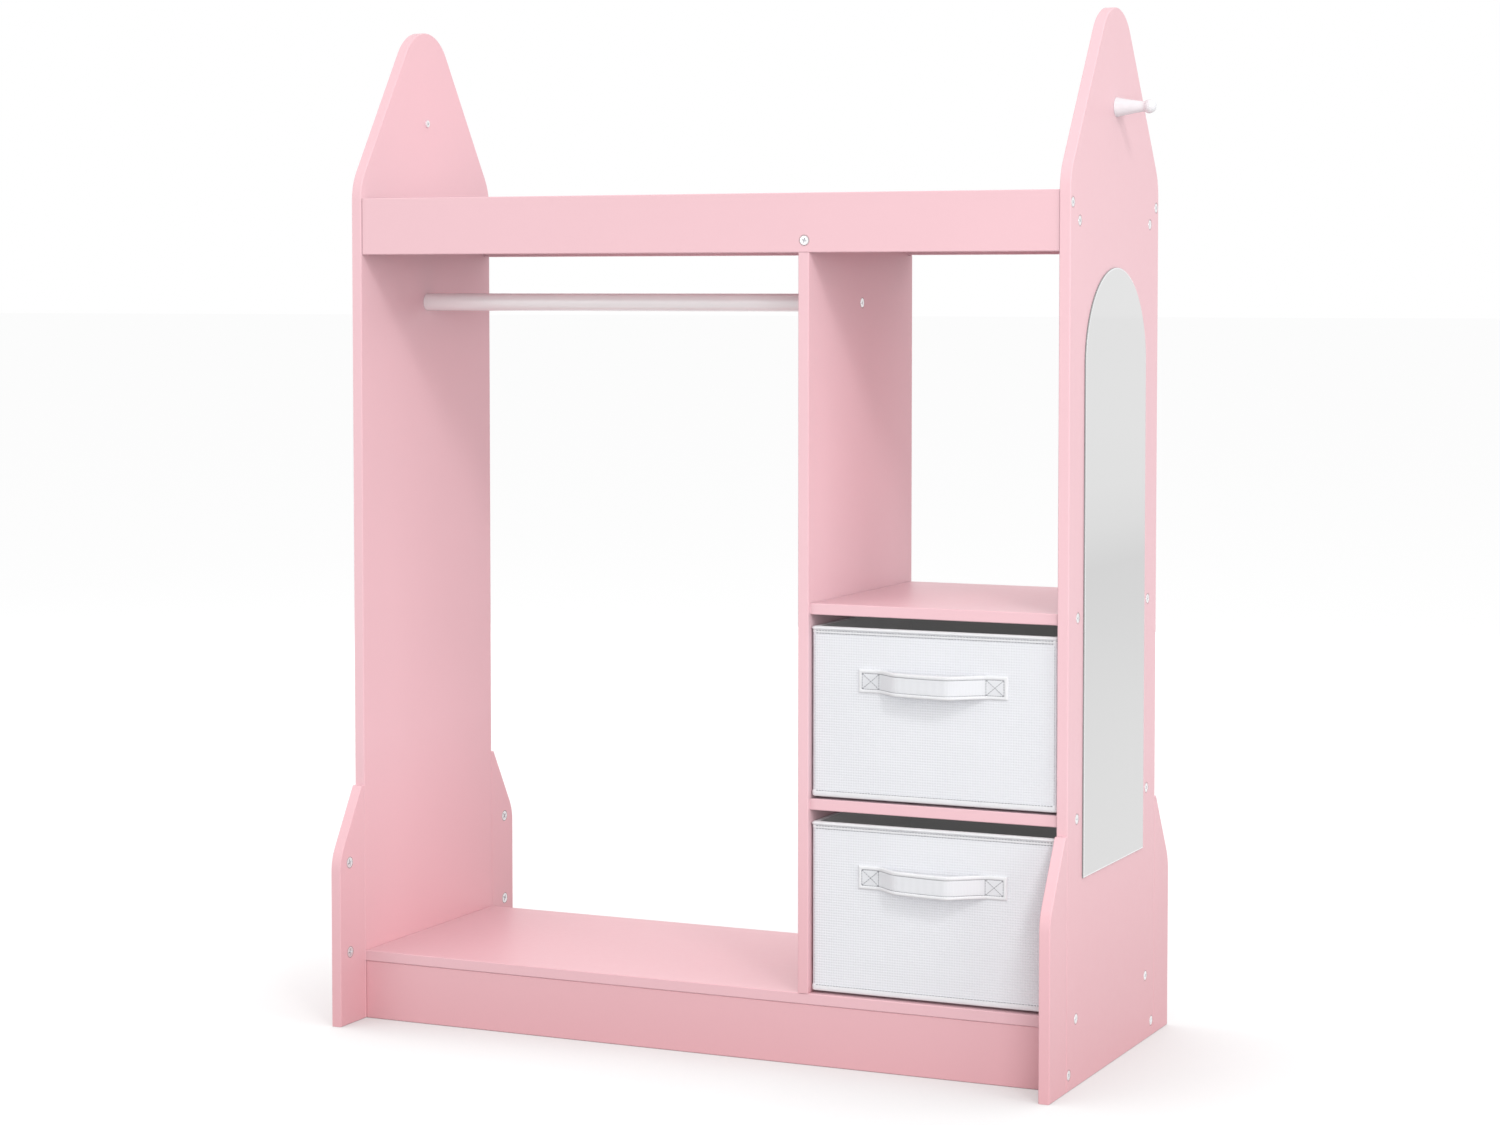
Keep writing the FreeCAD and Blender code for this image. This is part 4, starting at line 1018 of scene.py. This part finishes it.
        made = bmesh.new()
        box = 20 * MM + border
        near, far = half - border, total - border
        rows = [((border, near), (far, near)), ((far, near), (far, -near))]
        rows += [((far, -near), (border, -near)), ((border, -near), (border, near))]
        for start, end in ((border, box), (far, total - box)):
            rows += [((end, near), (end, -near)), ((start, near), (end, -near))]
            rows.append(((start, -near), (end, near)))
        for start, end in rows:
            start, end = Vector(start), Vector(end)
            steps = max(8, int((end - start).length / (0.9 * MM)))
            places = [start.lerp(end, step / steps) for step in range(steps + 1)]
            path = [surface(run, across, 0.12 * MM) for run, across in places]
            add_stitches(made, path, 2.7 * MM, 2.4 * MM, 0.36 * MM)
        self.add_piece(made, "strap_stitches", [thread], 80)


for number, name in enumerate(("upper_bin", "lower_bin")):
    sewn_bin = FabricBin(name, 1.7 + 2.9 * number)
    sewn_bin.cover()
    sewn_bin.cards()
    sewn_bin.lining()
    sewn_bin.floor()
    sewn_bin.top_binding()
    sewn_bin.bottom_binding()
    sewn_bin.handle()


# Floor, light and camera
FLOOR_REACH, FLOOR_DROP = 90, 0.0002
BOUNCE_GREY, SEEN_GREY, FLOOR_GLOW = 0.38, 0.42, 0.60
SHADE_TONE, SHADE_REACH = (0.40, 0.36, 0.355), 0.35
ROOM_LIGHT, SEEN_LIGHT = 0.89, 1.0
# Name, place, aim, size, power, and whether the lamp leaves a highlight
LAMPS = (
    ("key", (4.0, -4.0, 4.9), (0.1, 0, 0.6), 1.1, 85, True),
    ("fill", (-2.6, -3.2, 1.6), (0, 0, 0.5), 2.4, 18, True),
    ("front", (2.15, -3.5, 0.8), (0, 0, 0.6), 1.3, 32, True),
    ("side", (4.0, -1.4, 1.7), (0.4, 0, 0.6), 1.6, 33, True),
    ("back", (-1.2, 4.0, 1.0), (0, 0, 0.5), 2.4, 39, False),
    ("sheen", (-1.2, 3.8, 1.0), (0, 0, 0.5), 2.2, 7, True),
    ("left", (-4.0, 0.4, 1.7), (-0.4, 0, 0.6), 1.4, 34, True),
)
CAMERA_PLACE = (1.50478, -3.28989, 0.82648)
CAMERA_DIP, CAMERA_TURN = 2.9589, 24.5833
CAMERA_LENS, CAMERA_SENSOR, CAMERA_SHIFT = 78.0014, 36, -0.07


def seen_white(tree, output, plain, bright):
    """Shows one shader to the camera and to reflections, and another to the light that bounces."""
    path = add_node(tree, "ShaderNodeLightPath").outputs
    mirrored = math_node(tree, "MAXIMUM", path["Is Glossy Ray"], path["Is Transmission Ray"])
    seen = math_node(tree, "MAXIMUM", path["Is Camera Ray"], mirrored)
    mix = add_node(tree, "ShaderNodeMixShader")
    tree.links.new(seen, mix.inputs[0])
    tree.links.new(plain, mix.inputs[1])
    tree.links.new(bright, mix.inputs[2])
    tree.links.new(mix.outputs[0], output)


def grey(level):
    return (level, level, level, 1)


floor_mesh = bpy.data.meshes.new("floor")
signs = ((-1, -1), (1, -1), (1, 1), (-1, 1))
floor_mesh.from_pydata([(x * FLOOR_REACH, y * FLOOR_REACH, 0) for x, y in signs], [], [(0, 1, 2, 3)])
floor = bpy.data.objects.new("floor", floor_mesh)
floor.location.z = -FLOOR_DROP
bpy.context.scene.collection.objects.link(floor)
floor_paint = bpy.data.materials.new("floor_white")
floor_paint.use_nodes = True
floor_tree = floor_paint.node_tree
floor_tree.nodes.remove(floor_tree.nodes["Principled BSDF"])
bounced = add_node(floor_tree, "ShaderNodeBsdfDiffuse", Color=grey(BOUNCE_GREY))
shaded = add_node(floor_tree, "ShaderNodeBsdfDiffuse", Color=grey(SEEN_GREY))
glow = add_node(floor_tree, "ShaderNodeEmission", Strength=FLOOR_GLOW)
# Painted shadow: ambient occlusion dims the floor's glow round the object's base, towards a faintly pink
# tone.
near = add_node(floor_tree, "ShaderNodeAmbientOcclusion", Distance=SHADE_REACH)
floor_shadow_tone = ramp_mix(floor_tree, near.outputs["AO"], SHADE_TONE, (1.0, 1.0, 1.0))
floor_tree.links.new(floor_shadow_tone, glow.inputs["Color"])
both = add_node(floor_tree, "ShaderNodeAddShader")
floor_tree.links.new(shaded.outputs[0], both.inputs[0])
floor_tree.links.new(glow.outputs[0], both.inputs[1])
floor_output = floor_tree.nodes["Material Output"].inputs["Surface"]
seen_white(floor_tree, floor_output, bounced.outputs[0], both.outputs[0])
floor_mesh.materials.append(floor_paint)

world = bpy.data.worlds.new("studio")
bpy.context.scene.world = world
world.use_nodes = True
world_tree = world.node_tree
dim = world_tree.nodes["Background"]
dim.inputs["Color"].default_value = grey(1)
dim.inputs["Strength"].default_value = ROOM_LIGHT
white = add_node(world_tree, "ShaderNodeBackground", Color=grey(1), Strength=SEEN_LIGHT)
world_output = world_tree.nodes["World Output"].inputs["Surface"]
seen_white(world_tree, world_output, dim.outputs[0], white.outputs[0])

for name, place, aim, size, power, mirrored in LAMPS:
    lamp = bpy.data.lights.new(name, "AREA")
    lamp.shape = "SQUARE"
    lamp.size = size
    lamp.energy = power
    lamp_object = bpy.data.objects.new(name, lamp)
    lamp_object.location = place
    lamp_object.visible_camera = False
    lamp_object.visible_glossy = mirrored
    lamp_object.rotation_euler = (Vector(aim) - Vector(place)).to_track_quat("-Z", "Y").to_euler()
    bpy.context.scene.collection.objects.link(lamp_object)

camera_data = bpy.data.cameras.new("camera")
camera_data.sensor_width = CAMERA_SENSOR
camera_data.lens = CAMERA_LENS
camera_data.shift_y = CAMERA_SHIFT
camera_data.clip_end = 400
camera = bpy.data.objects.new("camera", camera_data)
camera.location = CAMERA_PLACE
camera.rotation_euler = (math.radians(90 - CAMERA_DIP), 0, math.radians(CAMERA_TURN))
bpy.context.scene.collection.objects.link(camera)
bpy.context.scene.camera = camera
bpy.context.scene.view_settings.view_transform = "Standard"
